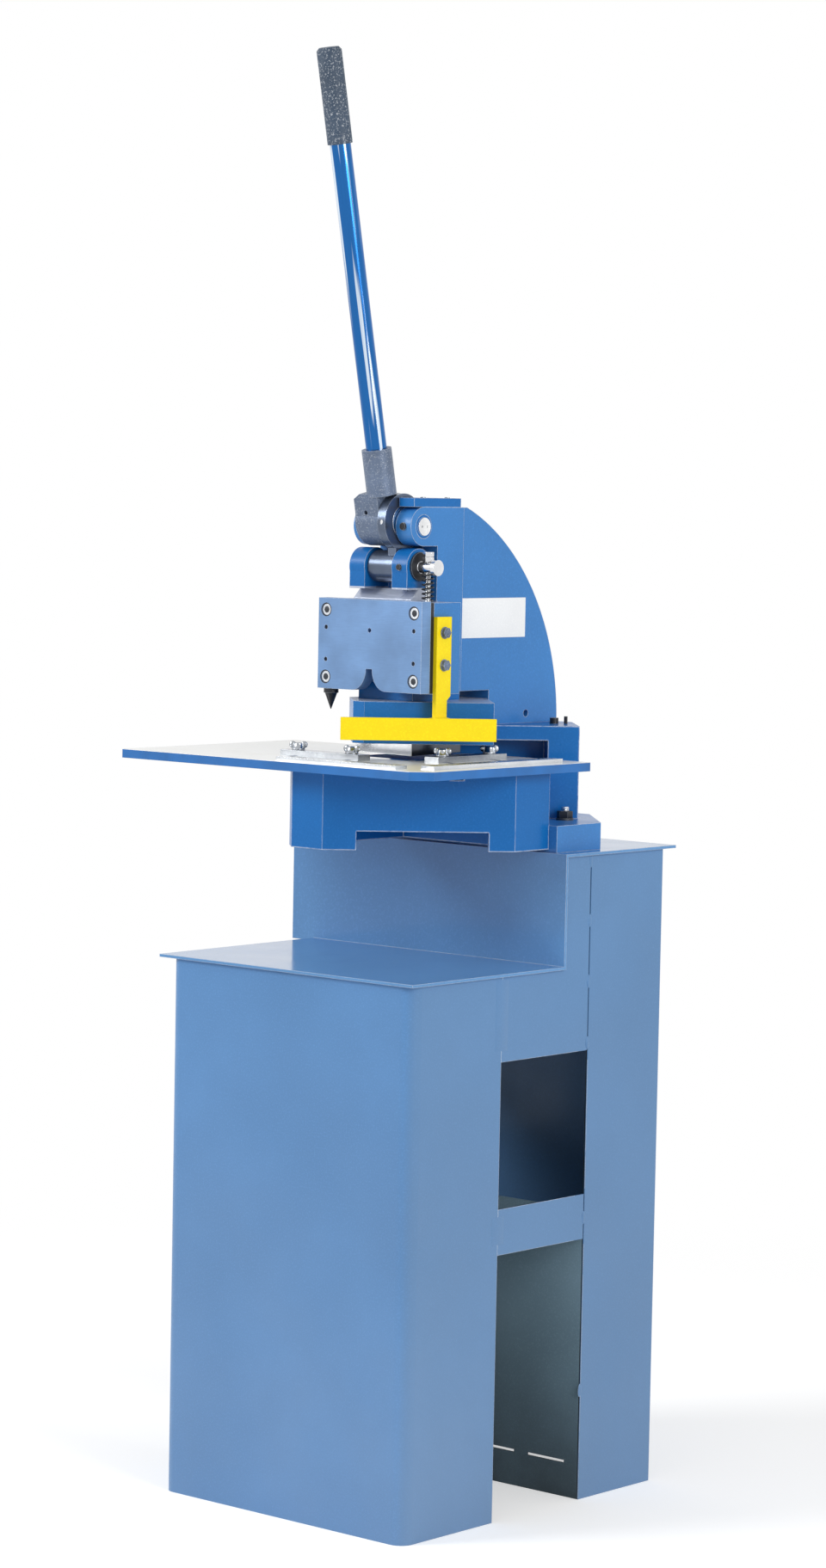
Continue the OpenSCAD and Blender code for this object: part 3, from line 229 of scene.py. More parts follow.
def paint(name, colour, roughness=0.3, patch=0.12, grain=1500.0, grainDepth=0.00006, soften=0.0012, chips=0.0,
          coat=0.0, edge=0.0, edgeHighlightColour=(0.78, 0.84, 0.92), edgeWidth=0.0016, specular=0.3, bare=(),
          bareSides=False, innerShade=None, bottomBlend=None, noPaleEdges=(), rightFaceLightTone=None):
    material, tree, shader, place = start(name)
    drift = noise(tree, place, 3.5, 2)
    light = [min(1, c * (1 + patch)) for c in colour]
    dark = [c * (1 - patch) for c in colour]
    tone = blend(tree, ramp(tree, drift, 0.35, 0.65), dark, light)
    cloud = noise(tree, place, 28, 4)
    tone = blend(tree, ramp(tree, cloud, 0.3, 0.7, 0.0, 0.3), tone, [c * 0.88 for c in colour])
    sand = noise(tree, place, 420, 2)
    tone = blend(tree, ramp(tree, sand, 0.5, 0.75, 0.0, 0.35), tone, [min(1, c * 1.35 + 0.01) for c in colour])
    if chips:
        spots = noise(tree, place, 90, 5, 0.7)
        tone = blend(tree, ramp(tree, spots, chips, chips + 0.015), tone, (0.11, 0.12, 0.14))
    # faces turned to +X are blended towards a greyer tone: painted light on that side
    if rightFaceLightTone:
        tone = blend(tree, times(tree, towardsRight(tree, 0.4, 0.95), 0.40), tone, rightFaceLightTone)
    # pale band along the sharp edges: painted highlight, partly edge wear, broken up by noise; the listed boxes get no
    # pale band
    if edge:
        edgeBreakup = ramp(tree, noise(tree, place, 70, 4, 0.6), 0.30, 0.50, 0.35, 1.0)
        edgeWearAndHighlight = times(tree, edgeMask(tree, edgeWidth, 0.80, 0.97), edgeBreakup)
        if noPaleEdges:
            edgeWearAndHighlight = times(tree, edgeWearAndHighlight, ramp(tree, insideBoxes(tree, place, noPaleEdges), 0.0, 1.0, 1.0, 0.0))
        tone = blend(tree, times(tree, edgeWearAndHighlight, edge), tone, edgeHighlightColour)
    # unevenly blends towards the given colour below the given height: a paler blue on the stand, painted shade on the
    # rear panel
    if bottomBlend:
        low = addNode(tree, "ShaderNodeSeparateXYZ", {"Vector": place}).outputs["Z"]
        uneven = ramp(tree, noise(tree, place, 5, 4), 0.3, 0.7, 0.6, 1.0)
        towardsBottom = times(tree, ramp(tree, low, bottomBlend["top"], 0.0), uneven)
        tone = blend(tree, times(tree, towardsBottom, bottomBlend["amount"]), tone, bottomBlend["colour"])
    # near black on the faces inside the listed boxes: painted shade in the stand's hollow
    if innerShade:
        tone = blend(tree, insideBoxes(tree, place, innerShade["boxes"]), tone, innerShade["colour"])
    if bare:
        tone, metalness = bareFaces(tree, place, tone, bare, bareSides)
        tree.links.new(metalness, shader.inputs["Metallic"])
    tree.links.new(tone, shader.inputs["Base Color"])
    sheen = ramp(tree, noise(tree, place, 14, 4), 0.3, 0.7, roughness * 0.85, roughness * 1.2)
    tree.links.new(sheen, shader.inputs["Roughness"])
    shader.inputs["Specular IOR Level"].default_value = specular
    shader.inputs["Coat Weight"].default_value = coat
    shader.inputs["Coat Roughness"].default_value = 0.12
    finishSurface(tree, shader, noise(tree, place, grain, 2), 0.35, grainDepth, soften)
    return material


def bareFaces(tree, place, tone, levels, sides):
    # machined faces without paint: level faces at the given heights, or with sides everything between them
    axes = addNode(tree, "ShaderNodeSeparateXYZ", {"Vector": place})
    normal = addNode(tree, "ShaderNodeNewGeometry").outputs["Normal"]
    facing = addNode(tree, "ShaderNodeSeparateXYZ", {"Vector": normal})
    up = ramp(tree, facing.outputs["Z"], 0.9, 0.98)
    mask = 0.0
    for low, high in levels:
        here = band(tree, axes.outputs["Z"], low, high)
        mask = addNode(tree, "ShaderNodeMath", {0: here, 1: mask}, operation="MAXIMUM").outputs[0]
    mask = mask if sides else times(tree, up, mask)
    drawn = addNode(tree, "ShaderNodeMapping", {"Vector": place, "Scale": (1, 30, 1)}).outputs[0]
    ground = blend(tree, ramp(tree, noise(tree, drawn, 40, 4), 0.3, 0.7), (0.42, 0.47, 0.58), (0.60, 0.64, 0.74))
    return blend(tree, mask, tone, ground), times(tree, mask, 0.4)


def metal(name, colour, roughness=0.3, metallic=1.0, stretch=(1, 1, 1), grain=260.0, grainDepth=0.00004,
          soften=0.0006, stain=0.15, speck=0.0, edge=0.0, shaded=None):
    material, tree, shader, place = start(name)
    drawn = addNode(tree, "ShaderNodeMapping", {"Vector": place, "Scale": stretch}).outputs[0]
    lines = noise(tree, drawn, grain, 4, 0.6)
    drift = noise(tree, place, 22, 4)
    dark, light = [c * (1 - stain) for c in colour], [min(1, c * (1 + stain)) for c in colour]
    tone = blend(tree, ramp(tree, drift, 0.3, 0.7), dark, light)
    tone = blend(tree, ramp(tree, lines, 0.35, 0.65, 0.0, 0.3), tone, [c * 0.8 for c in colour])
    if speck:
        flecks = ramp(tree, noise(tree, place, 420, 3, 0.7), 0.56, 0.62, 0.0, speck)
        tone = blend(tree, flecks, tone, (0.75, 0.78, 0.82))
    # pale band along the sharp edges: painted highlight, partly edge wear
    if edge:
        tone = blend(tree, times(tree, edgeMask(tree, 0.0012, 0.80, 0.97), edge), tone, (0.72, 0.78, 0.86))
    # faces turned to +X are blended towards the shaded colour: painted shade
    if shaded:
        tone = blend(tree, towardsRight(tree, 0.3, 0.5), tone, shaded)
    tree.links.new(tone, shader.inputs["Base Color"])
    shader.inputs["Metallic"].default_value = metallic
    tree.links.new(ramp(tree, lines, 0.3, 0.7, roughness * 0.8, roughness * 1.25), shader.inputs["Roughness"])
    finishSurface(tree, shader, lines, 0.4, grainDepth, soften)
    return material


def leverFinish(name, deep, pale, lean):
    # painted reflections: long pale and deep streaks drawn along the tube, which leans back by this angle
    material, tree, shader, place = start(name)
    upright = addNode(tree, "ShaderNodeMapping", {"Vector": place, "Rotation": (radians(-lean), 0, 0)}).outputs[0]
    drawn = addNode(tree, "ShaderNodeMapping", {"Vector": upright, "Scale": (1, 1, 0.02)}).outputs[0]
    paintedReflections = noise(tree, drawn, 150, 2, 0.4)
    tone = blend(tree, ramp(tree, paintedReflections, 0.53, 0.60), deep, pale)
    tone = blend(tree, ramp(tree, noise(tree, drawn, 700, 3), 0.4, 0.7, 0.0, 0.25), tone, [c * 0.7 for c in deep])
    tree.links.new(tone, shader.inputs["Base Color"])
    shader.inputs["Metallic"].default_value = 0.9
    tree.links.new(ramp(tree, noise(tree, drawn, 300, 3), 0.3, 0.7, 0.10, 0.2), shader.inputs["Roughness"])
    finishSurface(tree, shader, noise(tree, drawn, 900, 2), 0.2, 0.00002, 0.0006)
    return material


def tableFinish(name, steel, blue, topHeight):
    material, tree, shader, place = start(name)
    axes = addNode(tree, "ShaderNodeSeparateXYZ", {"Vector": place})
    onTop = ramp(tree, axes.outputs["Z"], topHeight - 0.0006, topHeight - 0.0004)
    brushed = {"Vector": place, "Scale": (1, 40, 1), "Rotation": (0, 0, radians(8))}
    drawn = addNode(tree, "ShaderNodeMapping", brushed).outputs[0]
    lines = noise(tree, drawn, 30, 5, 0.6)
    ground = blend(tree, ramp(tree, lines, 0.3, 0.7), [c * 0.9 for c in steel], steel)
    ground = blend(tree, ramp(tree, noise(tree, place, 9, 5, 0.6), 0.55, 0.75, 0.0, 0.35), ground, (0.62, 0.58, 0.5))
    cloud = ramp(tree, noise(tree, place, 18, 4), 0.35, 0.65)
    coatTone = blend(tree, cloud, [c * 0.85 for c in blue], [c * 1.1 for c in blue])
    tree.links.new(blend(tree, onTop, coatTone, ground), shader.inputs["Base Color"])
    tree.links.new(times(tree, onTop, 0.55), shader.inputs["Metallic"])
    tree.links.new(ramp(tree, lines, 0.3, 0.7, 0.3, 0.42), shader.inputs["Roughness"])
    finishSurface(tree, shader, lines, 0.3, 0.00003, 0.001)
    return material


# The stand's inner faces are painted near black as painted shade in its hollow; its lower part is blended towards a
# paler blue, and the rear panel gets painted shade low down
standInnerShade = {
    "boxes": (((-410, 1.5, 0), (-22, 362.6, 877.5)), ((-430.5, 22, 0), (-1.5, 362.6, 877.5)),
              ((-480.5, 359.5, 0), (-1.5, 514.5, 877.5))),
    "colour": (0.014, 0.018, 0.021),
}
# boxes at the seams beside the rear leg, kept free of the pale edge band
standSeams = (((-3, 340, 350), (2, 380, 425)), ((-3, 340, 600), (2, 380, 885)))
panelShade = {"top": 0.30, "amount": 1.0, "colour": (0.018, 0.022, 0.026)}
standBottomBlend = {"top": 0.75, "amount": 0.30, "colour": (0.26, 0.36, 0.52)}

standBlue, machineBlue = (0.092, 0.235, 0.480), (0.006, 0.135, 0.420)
standCoat = {"roughness": 0.36, "patch": 0.07, "grain": 900.0, "coat": 0.1, "bottomBlend": standBottomBlend,
             "rightFaceLightTone": (0.13, 0.225, 0.36)}
machineCoat = {"roughness": 0.3, "patch": 0.12, "grain": 420.0, "grainDepth": 0.0002, "soften": 0.002,
               "specular": 0.2, "coat": 0.1}
guideTop, housingLevels, slideFaces = (1.0505, 1.0785), (1.2099, 1.2120), (1.19, 1.2285)

# edge= sets the strength of the pale band along sharp edges: painted highlight, partly edge wear, widest and strongest
# on the bed
finishes = {
    "standPaint": paint("standPaint", standBlue, edge=0.75, edgeWidth=0.0018, innerShade=standInnerShade, noPaleEdges=standSeams,
                        **standCoat),
    "seamPaint": paint("seamPaint", standBlue, soften=0.00002, **standCoat),
    "innerPaint": paint("innerPaint", (0.25, 0.39, 0.49), roughness=0.45, patch=0.12, grain=900.0, specular=0.15,
                        bottomBlend=panelShade),
    "shelfPaint": paint("shelfPaint", (0.095, 0.255, 0.510), roughness=0.16, patch=0.08, grain=500.0,
                        grainDepth=0.00003, coat=0.4, edge=0.6),
    "machinePaint": paint("machinePaint", machineBlue, chips=0.80, edge=0.8, **machineCoat),
    "castPaint": paint("castPaint", (0.038, 0.200, 0.515), roughness=0.32, patch=0.10, grain=380.0, grainDepth=0.0002,
                       soften=0.002, specular=0.3, chips=0.80, coat=0.15, edge=0.85, bare=(guideTop, housingLevels)),
    "bedPaint": paint("bedPaint", machineBlue, chips=0.80, edge=1.0, edgeWidth=0.0034, **machineCoat),
    "guidePaint": paint("guidePaint", (0.012, 0.145, 0.430), chips=0.80, edge=0.85, bare=(guideTop,), **machineCoat),
    "slidePaint": paint("slidePaint", machineBlue, edge=0.8, bare=(slideFaces,), bareSides=True, **machineCoat),
    "plateSteel": metal("plateSteel", (0.15, 0.275, 0.50), roughness=0.45, metallic=0.25, stretch=(1, 1, 14),
                        grain=60.0, edge=0.7),
    "steel": metal("steel", (0.72, 0.75, 0.79), roughness=0.24),
    "brightSteel": metal("brightSteel", (0.86, 0.87, 0.89), roughness=0.14, grainDepth=0.00002),
    "dullSteel": metal("dullSteel", (0.40, 0.42, 0.45), roughness=0.22, stain=0.25, edge=0.6),
    # the punch's faces turned to +X carry painted shade
    "punchSteel": metal("punchSteel", (0.86, 0.87, 0.89), roughness=0.16, grainDepth=0.00002,
                        shaded=(0.10, 0.11, 0.13)),
    "darkSteel": metal("darkSteel", (0.115, 0.155, 0.235), roughness=0.42, metallic=0.3, grain=500.0,
                       grainDepth=0.00015, stain=0.25, speck=0.25, edge=0.5),
    "linkSteel": metal("linkSteel", (0.11, 0.14, 0.20), roughness=0.22, metallic=0.7, grain=500.0,
                       grainDepth=0.00015, stain=0.3, edge=0.5),
    "blackSteel": metal("blackSteel", (0.022, 0.024, 0.03), roughness=0.35, metallic=0.4, stain=0.2, edge=0.35),
    "guardPaint": paint("guardPaint", (0.96, 0.73, 0.006), roughness=0.3, patch=0.03, grain=700.0, coat=0.1,
                        specular=0.2),
    "chrome": leverFinish("chrome", (0.02, 0.14, 0.42), (0.74, 0.85, 0.96), 11.7),
    "gripRubber": metal("gripRubber", (0.035, 0.06, 0.10), roughness=0.6, metallic=0.0, grain=900.0,
                        grainDepth=0.0003, speck=0.45),
    "tableSteel": tableFinish("tableSteel", (0.88, 0.88, 0.86), (0.010, 0.135, 0.420), 1.0),
    "whitePlate": paint("whitePlate", (0.86, 0.88, 0.90), roughness=0.25, patch=0.02, grain=600.0,
                        grainDepth=0.00001, soften=0.0004, coat=0.4),
    # near black, for the rules' printed marks and for the painted shade round the front plate's screws
    "inkAndShade": paint("inkAndShade", (0.03, 0.035, 0.045), roughness=0.5, patch=0.1, grain=900.0, grainDepth=0.00001,
                 soften=0.0001),
}

# Which finish each CAD piece gets
finishOf = {
    "standPaint": ["front_leg", "rear_leg", "right_side_panel", "left_side_panel", "right_cross_bar", "left_cross_bar"],
    "innerPaint": ["rear_panel"],
    "shelfPaint": ["top_sheet"],
    "bedPaint": ["bed"],
    "machinePaint": ["fork_bushes", "lever_stop"],
    "castPaint": ["base_plate", "head"],
    "guidePaint": ["guide_block"],
    "slidePaint": ["slide"],
    "plateSteel": ["front_plate"],
    "darkSteel": ["lever_hub"],
    "punchSteel": ["punch"],
    "dullSteel": ["right_stop", "left_stop"],
    "linkSteel": ["link"],
    "blackSteel": ["keeper_strips", "gib_screws", "head_bolts", "front_plate_dowels", "return_spring",
                   "punch_screws", "pin_lock_screw", "bush_screw", "base_bolts", "base_nuts", "column_bolts",
                   "guard_screws", "pointer"],
    "guardPaint": ["guard"],
    "chrome": ["lever_tube"],
    "gripRubber": ["grip"],
    "tableSteel": ["table"],
    "brightSteel": ["die_plate", "slide_pin", "eccentric_shaft", "link_plug", "pin_sleeves", "stop_stud", "stop_nuts"],
}


def dress(names):
    chosen = {n: finish for finish, group in names.items() for n in group}
    for name, piece in nodes.items():
        piece.data.materials.clear()
        piece.data.materials.append(finishes[chosen.get(name, "steel")])


dress(finishOf)
print("finishes are on", len(nodes), "pieces")


# Tools for the added pieces
def finishPiece(name, bm, finish, body, hides=(), sharpFrom=35):
    bmesh.ops.remove_doubles(bm, verts=bm.verts, dist=0.00001)
    bmesh.ops.recalc_face_normals(bm, faces=bm.faces)
    mesh = bpy.data.meshes.new(name)
    bm.to_mesh(mesh)
    bm.free()
    mesh.shade_smooth()
    mesh.set_sharp_from_angle(angle=radians(sharpFrom))
    mesh.materials.append(finishes[finish])
    piece = bpy.data.objects.new(name, mesh)
    bpy.context.collection.objects.link(piece)
    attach(piece, body)
    if hides:
        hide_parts(*hides)
    return piece


def settle(bm, place, turn=(0, 0, 0)):
    # from mm round the piece's own origin to metres in the frame
    matrix = Matrix.Translation(place) @ Euler([radians(a) for a in turn]).to_matrix().to_4x4() @ Matrix.Scale(0.001, 4)
    bmesh.ops.transform(bm, matrix=matrix, verts=bm.verts)


def addPart(bm, part):
    mesh = bpy.data.meshes.new("part")
    part.to_mesh(mesh)
    part.free()
    bm.from_mesh(mesh)
    bpy.data.meshes.remove(mesh)


def footOf(node):
    low, high = (Vector(corner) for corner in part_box(node))
    return Vector(((low.x + high.x) / 2, (low.y + high.y) / 2, low.z)), (high - low) * 1000


def turned(bm, outline, steps=40):
    # outline is (radius, height) up the Z axis
    verts = [bm.verts.new((r, 0, z)) for r, z in outline]
    edges = [bm.edges.new(pair) for pair in zip(verts, verts[1:])]
    bmesh.ops.spin(bm, geom=verts + edges, axis=(0, 0, 1), cent=(0, 0, 0), angle=2 * pi, steps=steps, use_merge=True)


def block(bm, low, high, edge=0.5, segments=2):
    verts = bmesh.ops.create_cube(bm, size=1)["verts"]
    low, high = Vector(low), Vector(high)
    bmesh.ops.scale(bm, vec=high - low, verts=verts)
    bmesh.ops.translate(bm, vec=(low + high) / 2, verts=verts)
    if edge:
        edges = list({e for v in verts for e in v.link_edges})
        bmesh.ops.bevel(bm, geom=edges, offset=edge, offset_type="OFFSET", segments=segments, profile=0.5,
                        affect="EDGES", clamp_overlap=True, material=-1)


def hexagon(bm, across, low, high, chamfer):
    radius = across / 2 / cos(pi / 6)
    made = bmesh.ops.create_cone(bm, cap_ends=True, segments=6, radius1=radius, radius2=radius,
                                 depth=high - low)["verts"]
    bmesh.ops.translate(bm, vec=(0, 0, (low + high) / 2), verts=made)
    rims = [e for e in {e for v in made for e in v.link_edges} if abs(e.verts[0].co.z - e.verts[1].co.z) < 0.001]
    bmesh.ops.bevel(bm, geom=rims, offset=chamfer, offset_type="OFFSET", segments=2, profile=0.5, affect="EDGES",
                    clamp_overlap=True, material=-1)


threadForm = {"crestFrom": 0.42, "crestTo": 0.58, "rootDepth": 1.6, "coreDepth": 1.1, "around": 18}


def threaded(bm, radius, pitch, low, high, depth):
    # a rod with a helical thread: one tooth's outline spun upwards round a plain core
    f = threadForm
    turns = (high - low) / pitch - 1
    outline = [(radius - depth, low), (radius, low + pitch * f["crestFrom"]), (radius, low + pitch * f["crestTo"]),
               (radius - depth, low + pitch), (radius - depth * f["rootDepth"], low + pitch * 0.5)]
    verts = [bm.verts.new((r, 0, z)) for r, z in outline]
    edges = [bm.edges.new(pair) for pair in zip(verts, verts[1:] + verts[:1])]
    steps = int(turns * f["around"])
    bmesh.ops.spin(bm, geom=verts + edges, axis=(0, 0, 1), cent=(0, 0, 0), angle=2 * pi * turns,
                   dvec=(0, 0, turns * pitch / steps), steps=steps)
    bmesh.ops.holes_fill(bm, edges=[e for e in bm.edges if e.is_boundary])
    core = radius - depth * f["coreDepth"]
    turned(bm, [(0, low), (core, low), (core, high), (0, high)], 24)


# Bare name plate on the head's side
namePlate = {"low": (-173.2, 285.5, 1160), "high": (-172.2, 419, 1214), "edge": 0.45}


def addNamePlate(p):
    bm = bmesh.new()
    block(bm, p["low"], p["high"], p["edge"])
    settle(bm, at(0, 0, 0))
    finishPiece("namePlate", bm, "whitePlate", "frame")


# Wing screws that clamp the two stops
wingScrew = {
    "headHeight": 11, "stem": 4, "foot": 9, "footHeight": 1.6, "hub": 7.6, "hubFrom": 2.4, "shoulder": 0.8,
    "shoulderAt": 8.4, "tip": 0.5, "top": 9.4, "span": 13.2, "thick": 4.4, "wingReach": 0.36, "wingHeight": 4.6,
    "wingLean": 24, "wingOut": 0.6, "wingUp": 6.6,
    "turns": {"right_clamp_front": 20, "right_clamp_rear": 38, "left_clamp_inner": 10, "left_clamp_outer": 30},
}


def addWingScrews(p):
    for node, turn in p["turns"].items():
        foot, size = footOf(node)
        neck = size.z - p["headHeight"]
        bm = bmesh.new()
        turned(bm, [(0, 0), (p["stem"], 0), (p["stem"], neck), (p["foot"], neck), (p["foot"], neck + p["footHeight"]),
                    (p["hub"], neck + p["hubFrom"]), (p["hub"] * p["shoulder"], neck + p["shoulderAt"]),
                    (p["hub"] * p["tip"], neck + p["top"]), (0, neck + p["top"])], 32)
        for side in (-1, 1):
            wing = bmesh.ops.create_uvsphere(bm, u_segments=18, v_segments=10, radius=1)["verts"]
            lean = Matrix.Rotation(radians(side * p["wingLean"]), 3, "Y")
            bmesh.ops.scale(bm, vec=(p["span"] * p["wingReach"], p["thick"] / 2, p["wingHeight"]), verts=wing)
            bmesh.ops.rotate(bm, cent=(0, 0, 0), matrix=lean, verts=wing)
            bmesh.ops.translate(bm, vec=(side * p["span"] * p["wingOut"], 0, neck + p["wingUp"]), verts=wing)
        settle(bm, foot, (0, 0, turn))
        finishPiece(node + "_wing", bm, "dullSteel", node, hides=(node,), sharpFrom=50)


# Threaded stop beside the slide's pin
stopThread = {"short": 24, "radius": 4, "pitch": 1.25, "depth": 0.7, "nutAcross": 13, "nutHeight": 6.5,
              "nutTurn": 12, "chamfer": 0.7}


def addStopThread(p):
    foot, size = footOf("stop_stud")
    bm = bmesh.new()
    threaded(bm, p["radius"], p["pitch"], 0, size.z - p["short"], p["depth"])
    settle(bm, foot)
    finishPiece("studThread", bm, "brightSteel", "frame", hides=("stop_stud",), sharpFrom=60)
    foot, size = footOf("stop_nuts")
    bm = bmesh.new()
    for low in (0, size.z - p["nutHeight"]):
        hexagon(bm, p["nutAcross"], low, low + p["nutHeight"], p["chamfer"])
    settle(bm, foot, (0, 0, p["nutTurn"]))
    finishPiece("studNuts", bm, "brightSteel", "frame", hides=("stop_nuts",))


# Return spring, which the slide's pin presses together
returnCoil = {"radius": 7.3, "wire": 1.2, "turns": 6, "stepsPerTurn": 20, "stroke": 11.08}


def addReturnCoil(p):
    foot, size = footOf("return_spring")
    bm = bmesh.new()
    wire = bmesh.ops.create_circle(bm, segments=10, radius=p["wire"], cap_ends=False)["verts"]
    bmesh.ops.rotate(bm, cent=(0, 0, 0), matrix=Matrix.Rotation(radians(90), 3, "X"), verts=wire)
    bmesh.ops.translate(bm, vec=(p["radius"], 0, p["wire"]), verts=wire)
    steps = p["turns"] * p["stepsPerTurn"]
    bmesh.ops.spin(bm, geom=list(bm.verts) + list(bm.edges), axis=(0, 0, 1), cent=(0, 0, 0), angle=2 * pi * p["turns"],
                   dvec=(0, 0, (size.z - 2 * p["wire"]) / steps), steps=steps)
    bmesh.ops.holes_fill(bm, edges=[e for e in bm.edges if e.is_boundary])
    settle(bm, foot)
    piece = finishPiece("returnCoil", bm, "blackSteel", "frame", hides=("return_spring",), sharpFrom=60)
    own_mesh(piece)


# Knurled washer on the slide's pin
pinWasher = {"face": -169.9, "thick": 3.2, "radius": 19.5, "toothRoot": 0.965, "hole": 7.4, "teeth": 56,
             "axis": (193, 1257)}


def addPinWasher(p):
    bm = bmesh.new()
    rim = bmesh.ops.create_circle(bm, segments=p["teeth"] * 2, radius=p["radius"], cap_ends=False)["verts"]
    bmesh.ops.scale(bm, vec=(p["toothRoot"], p["toothRoot"], 1), verts=rim[::2])
    inner = bmesh.ops.create_circle(bm, segments=p["teeth"] * 2, radius=p["hole"], cap_ends=False)["verts"]
    bmesh.ops.bridge_loops(bm, edges=list({e for v in rim + inner for e in v.link_edges}))
    lid = bmesh.ops.extrude_face_region(bm, geom=list(bm.faces))["geom"]
    bmesh.ops.translate(bm, vec=(0, 0, p["thick"]), verts=[v for v in lid if isinstance(v, bmesh.types.BMVert)])
    settle(bm, at(p["face"], *p["axis"]), (0, 90, 0))
    finishPiece("pinWasher", bm, "blackSteel", "slide", sharpFrom=25)


# Marks on the two rules
ruleMarks = {"width": 0.22, "short": 3.2, "middle": 4.8, "long": 7.0, "inset": 0.4, "proud": 0.03,
             "rules": {"right_scale": "y", "left_scale": "x"}}


def addRuleMarks(p):
    for node, along in p["rules"].items():
        foot, size = footOf(node)
        length, width = (size.y, size.x) if along == "y" else (size.x, size.y)
        start = -width / 2 + p["inset"]
        bm = bmesh.new()
        for k in range(2, int(length) - 1):
            mark = p["long"] if k % 10 == 0 else p["middle"] if k % 5 == 0 else p["short"]
            block(bm, (start, k - length / 2 - p["width"] / 2, size.z - p["proud"]),
                  (start + mark, k - length / 2 + p["width"] / 2, size.z + p["proud"]), 0)
        settle(bm, foot, (0, 0, 0 if along == "y" else -90))
        finishPiece(node + "_marks", bm, "inkAndShade", "frame")


# Weld beads on the stand's seam
weldBeads = {"heights": (150, 386, 623, 706, 788, 868), "seam": 359.5, "size": (1.3, 3.6, 9), "sunk": 0.2,
             "waver": 0.25, "waverPerMm": 2.6}


def addWeldBeads(p):
    bm = bmesh.new()
    for k, z in enumerate(p["heights"]):
        bead = bmesh.ops.create_uvsphere(bm, u_segments=14, v_segments=10, radius=1)["verts"]
        bmesh.ops.scale(bm, vec=p["size"], verts=bead)
        for v in bead:
            v.co.x += p["waver"] * sin(v.co.z * p["waverPerMm"] + k)
        bmesh.ops.translate(bm, vec=(-p["sunk"], p["seam"], z), verts=bead)
    settle(bm, at(0, 0, 0))
    finishPiece("weldBeads", bm, "standPaint", "frame", sharpFrom=60)


# Nuts and stud ends on the base plate
baseNuts = {
    "places": ((-76, 395), (-455, 345), (-445, 405), (-340, 470)), "top": 916, "turnEach": 17,
    "washer": 12, "washerHeight": 2.5, "washerLip": 0.6, "across": 19, "nutHeight": 10, "chamfer": 0.9,
    "stud": 6, "studEnd": 18, "studInNut": 2, "pitch": 1.75, "depth": 1.0,
}


def addBaseNuts(p):
    nutLow = p["washerHeight"]
    nutTop = nutLow + p["nutHeight"]
    for name, finish in (("baseNuts", "blackSteel"), ("baseStuds", "steel")):
        bm = bmesh.new()
        for k, (x, y) in enumerate(p["places"]):
            part = bmesh.new()
            if name == "baseNuts":
                hole = p["stud"] - p["washerLip"]
                turned(part, [(hole, 0), (p["washer"], 0), (p["washer"], nutLow), (hole, nutLow)], 36)
                hexagon(part, p["across"], nutLow, nutTop, p["chamfer"])
            else:
                threaded(part, p["stud"], p["pitch"], nutTop - p["studInNut"], p["studEnd"], p["depth"])
            settle(part, at(x, y, p["top"]), (0, 0, p["turnEach"] * k))
            addPart(bm, part)
        hides = ("base_bolts",) if name == "baseNuts" else ()
        finishPiece(name, bm, finish, "frame", hides=hides, sharpFrom=45)


# Flat nuts on the guard's strap and low screws on the lever stop
flatFixings = {
    "guard": ((-123.2, 193, 1171), (-123.2, 193, 1128)), "washer": 8, "washerHeight": 1.2, "across": 13, "height": 6,
    "chamfer": 0.6, "end": 3.4, "endHeight": 7.5, "endDrop": 0.6, "taper": 0.8,
    "stop": ((-265, 214, 1348), (-265, 263, 1348), (-183.5, 214, 1348), (-183.5, 263, 1348)),
    "low": 3.6, "lowHeight": 1.4, "lowDrop": 0.5, "socket": 0.5, "socketFloor": 0.3,
}


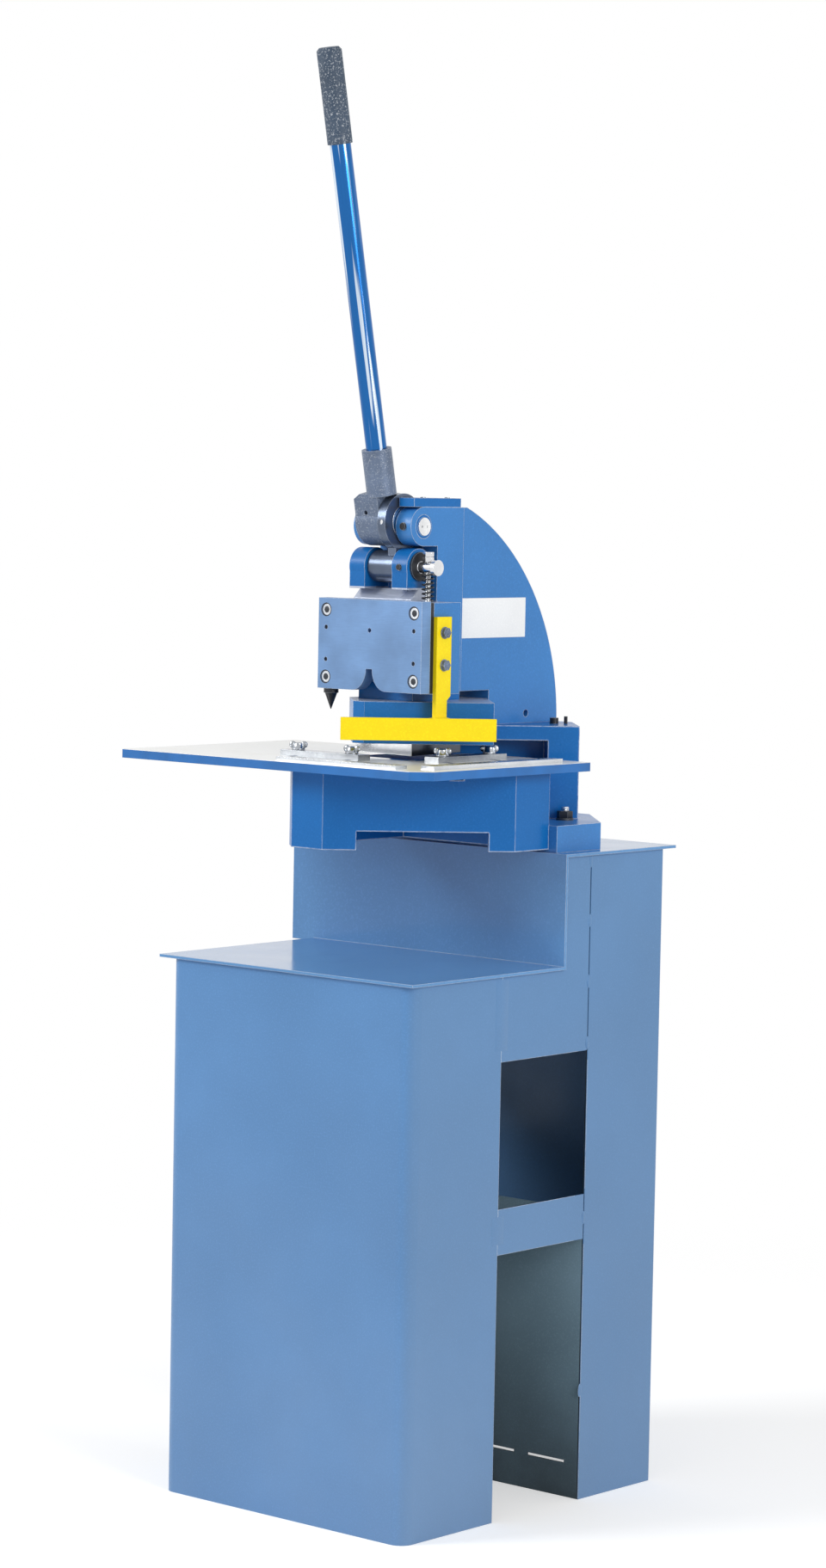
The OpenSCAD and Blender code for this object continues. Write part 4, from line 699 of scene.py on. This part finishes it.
def addFlatFixings(p):
    nuts, screws = bmesh.new(), bmesh.new()
    for places, target, turn in ((p["guard"], nuts, (0, 90, 0)), (p["stop"], screws, (0, 0, 0))):
        for place in places:
            part = bmesh.new()
            if target is nuts:
                turned(part, [(0, 0), (p["washer"], 0), (p["washer"], p["washerHeight"]), (0, p["washerHeight"])], 32)
                hexagon(part, p["across"], p["washerHeight"], p["height"], p["chamfer"])
                turned(part, [(0, p["height"]), (p["end"], p["height"]), (p["end"], p["endHeight"] - p["endDrop"]),
                              (p["end"] - p["taper"], p["endHeight"]), (0, p["endHeight"])], 24)
            else:
                hole = p["low"] * p["socket"]
                turned(part, [(0, 0), (p["low"], 0), (p["low"], p["lowHeight"] - p["lowDrop"]),
                              (p["low"] - p["taper"], p["lowHeight"]), (hole, p["lowHeight"]),
                              (hole, p["socketFloor"]), (0, p["socketFloor"])], 24)
            settle(part, at(*place), turn)
            addPart(target, part)
    finishPiece("guardNuts", nuts, "darkSteel", "frame", hides=("guard_screws",), sharpFrom=45)
    finishPiece("stopScrews", screws, "dullSteel", "frame", hides=("lever_stop_screws",), sharpFrom=45)


# Dark rings round the front plate's screw heads and dark hexagons in their sockets, laid just proud: painted shade for
# the gaps and the socket hollows
screwShade = {"acrossPlate": (-299, -143), "heights": (1106.25, 1196.25), "plateFront": 153.5, "proud": 0.08,
              "inner": 7.9, "outer": 9.2, "socket": 8, "depth": 0.3, "chamfer": 0.05}


def addScrewShade(p):
    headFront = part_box("front_plate_screws")[0][1] * 1000 - standCorner.y
    bm = bmesh.new()
    for x in p["acrossPlate"]:
        for z in p["heights"]:
            part = bmesh.new()
            turned(part, [(p["inner"], 0), (p["outer"], 0), (p["outer"], p["depth"]), (p["inner"], p["depth"]),
                          (p["inner"], 0)], 36)
            settle(part, at(x, p["plateFront"] + p["depth"] - p["proud"], z), (90, 0, 0))
            addPart(bm, part)
            part = bmesh.new()
            hexagon(part, p["socket"], 0, p["depth"], p["chamfer"])
            settle(part, at(x, headFront + p["depth"] - p["proud"], z), (90, 0, 0))
            addPart(bm, part)
    finishPiece("screwShade", bm, "inkAndShade", "frame", sharpFrom=30)


# Flush strips of filler over the joints between the front leg and the side sheets
seamFiller = {"side": 0, "out": 0.15, "into": 0.2, "y": (168, 192), "heights": ((371, 408), (628, 722)), "edge": 0.12}


def addSeamFiller(p):
    bm = bmesh.new()
    for low, high in p["heights"]:
        block(bm, (p["side"] - p["into"], p["y"][0], low), (p["side"] + p["out"], p["y"][1], high), p["edge"])
    settle(bm, at(0, 0, 0))
    finishPiece("seamFiller", bm, "seamPaint", "frame")


addNamePlate(namePlate)
addBaseNuts(baseNuts)
addFlatFixings(flatFixings)
addScrewShade(screwShade)
addSeamFiller(seamFiller)
addWingScrews(wingScrew)
addStopThread(stopThread)
addReturnCoil(returnCoil)
addPinWasher(pinWasher)
addRuleMarks(ruleMarks)
addWeldBeads(weldBeads)
print("added pieces are made")
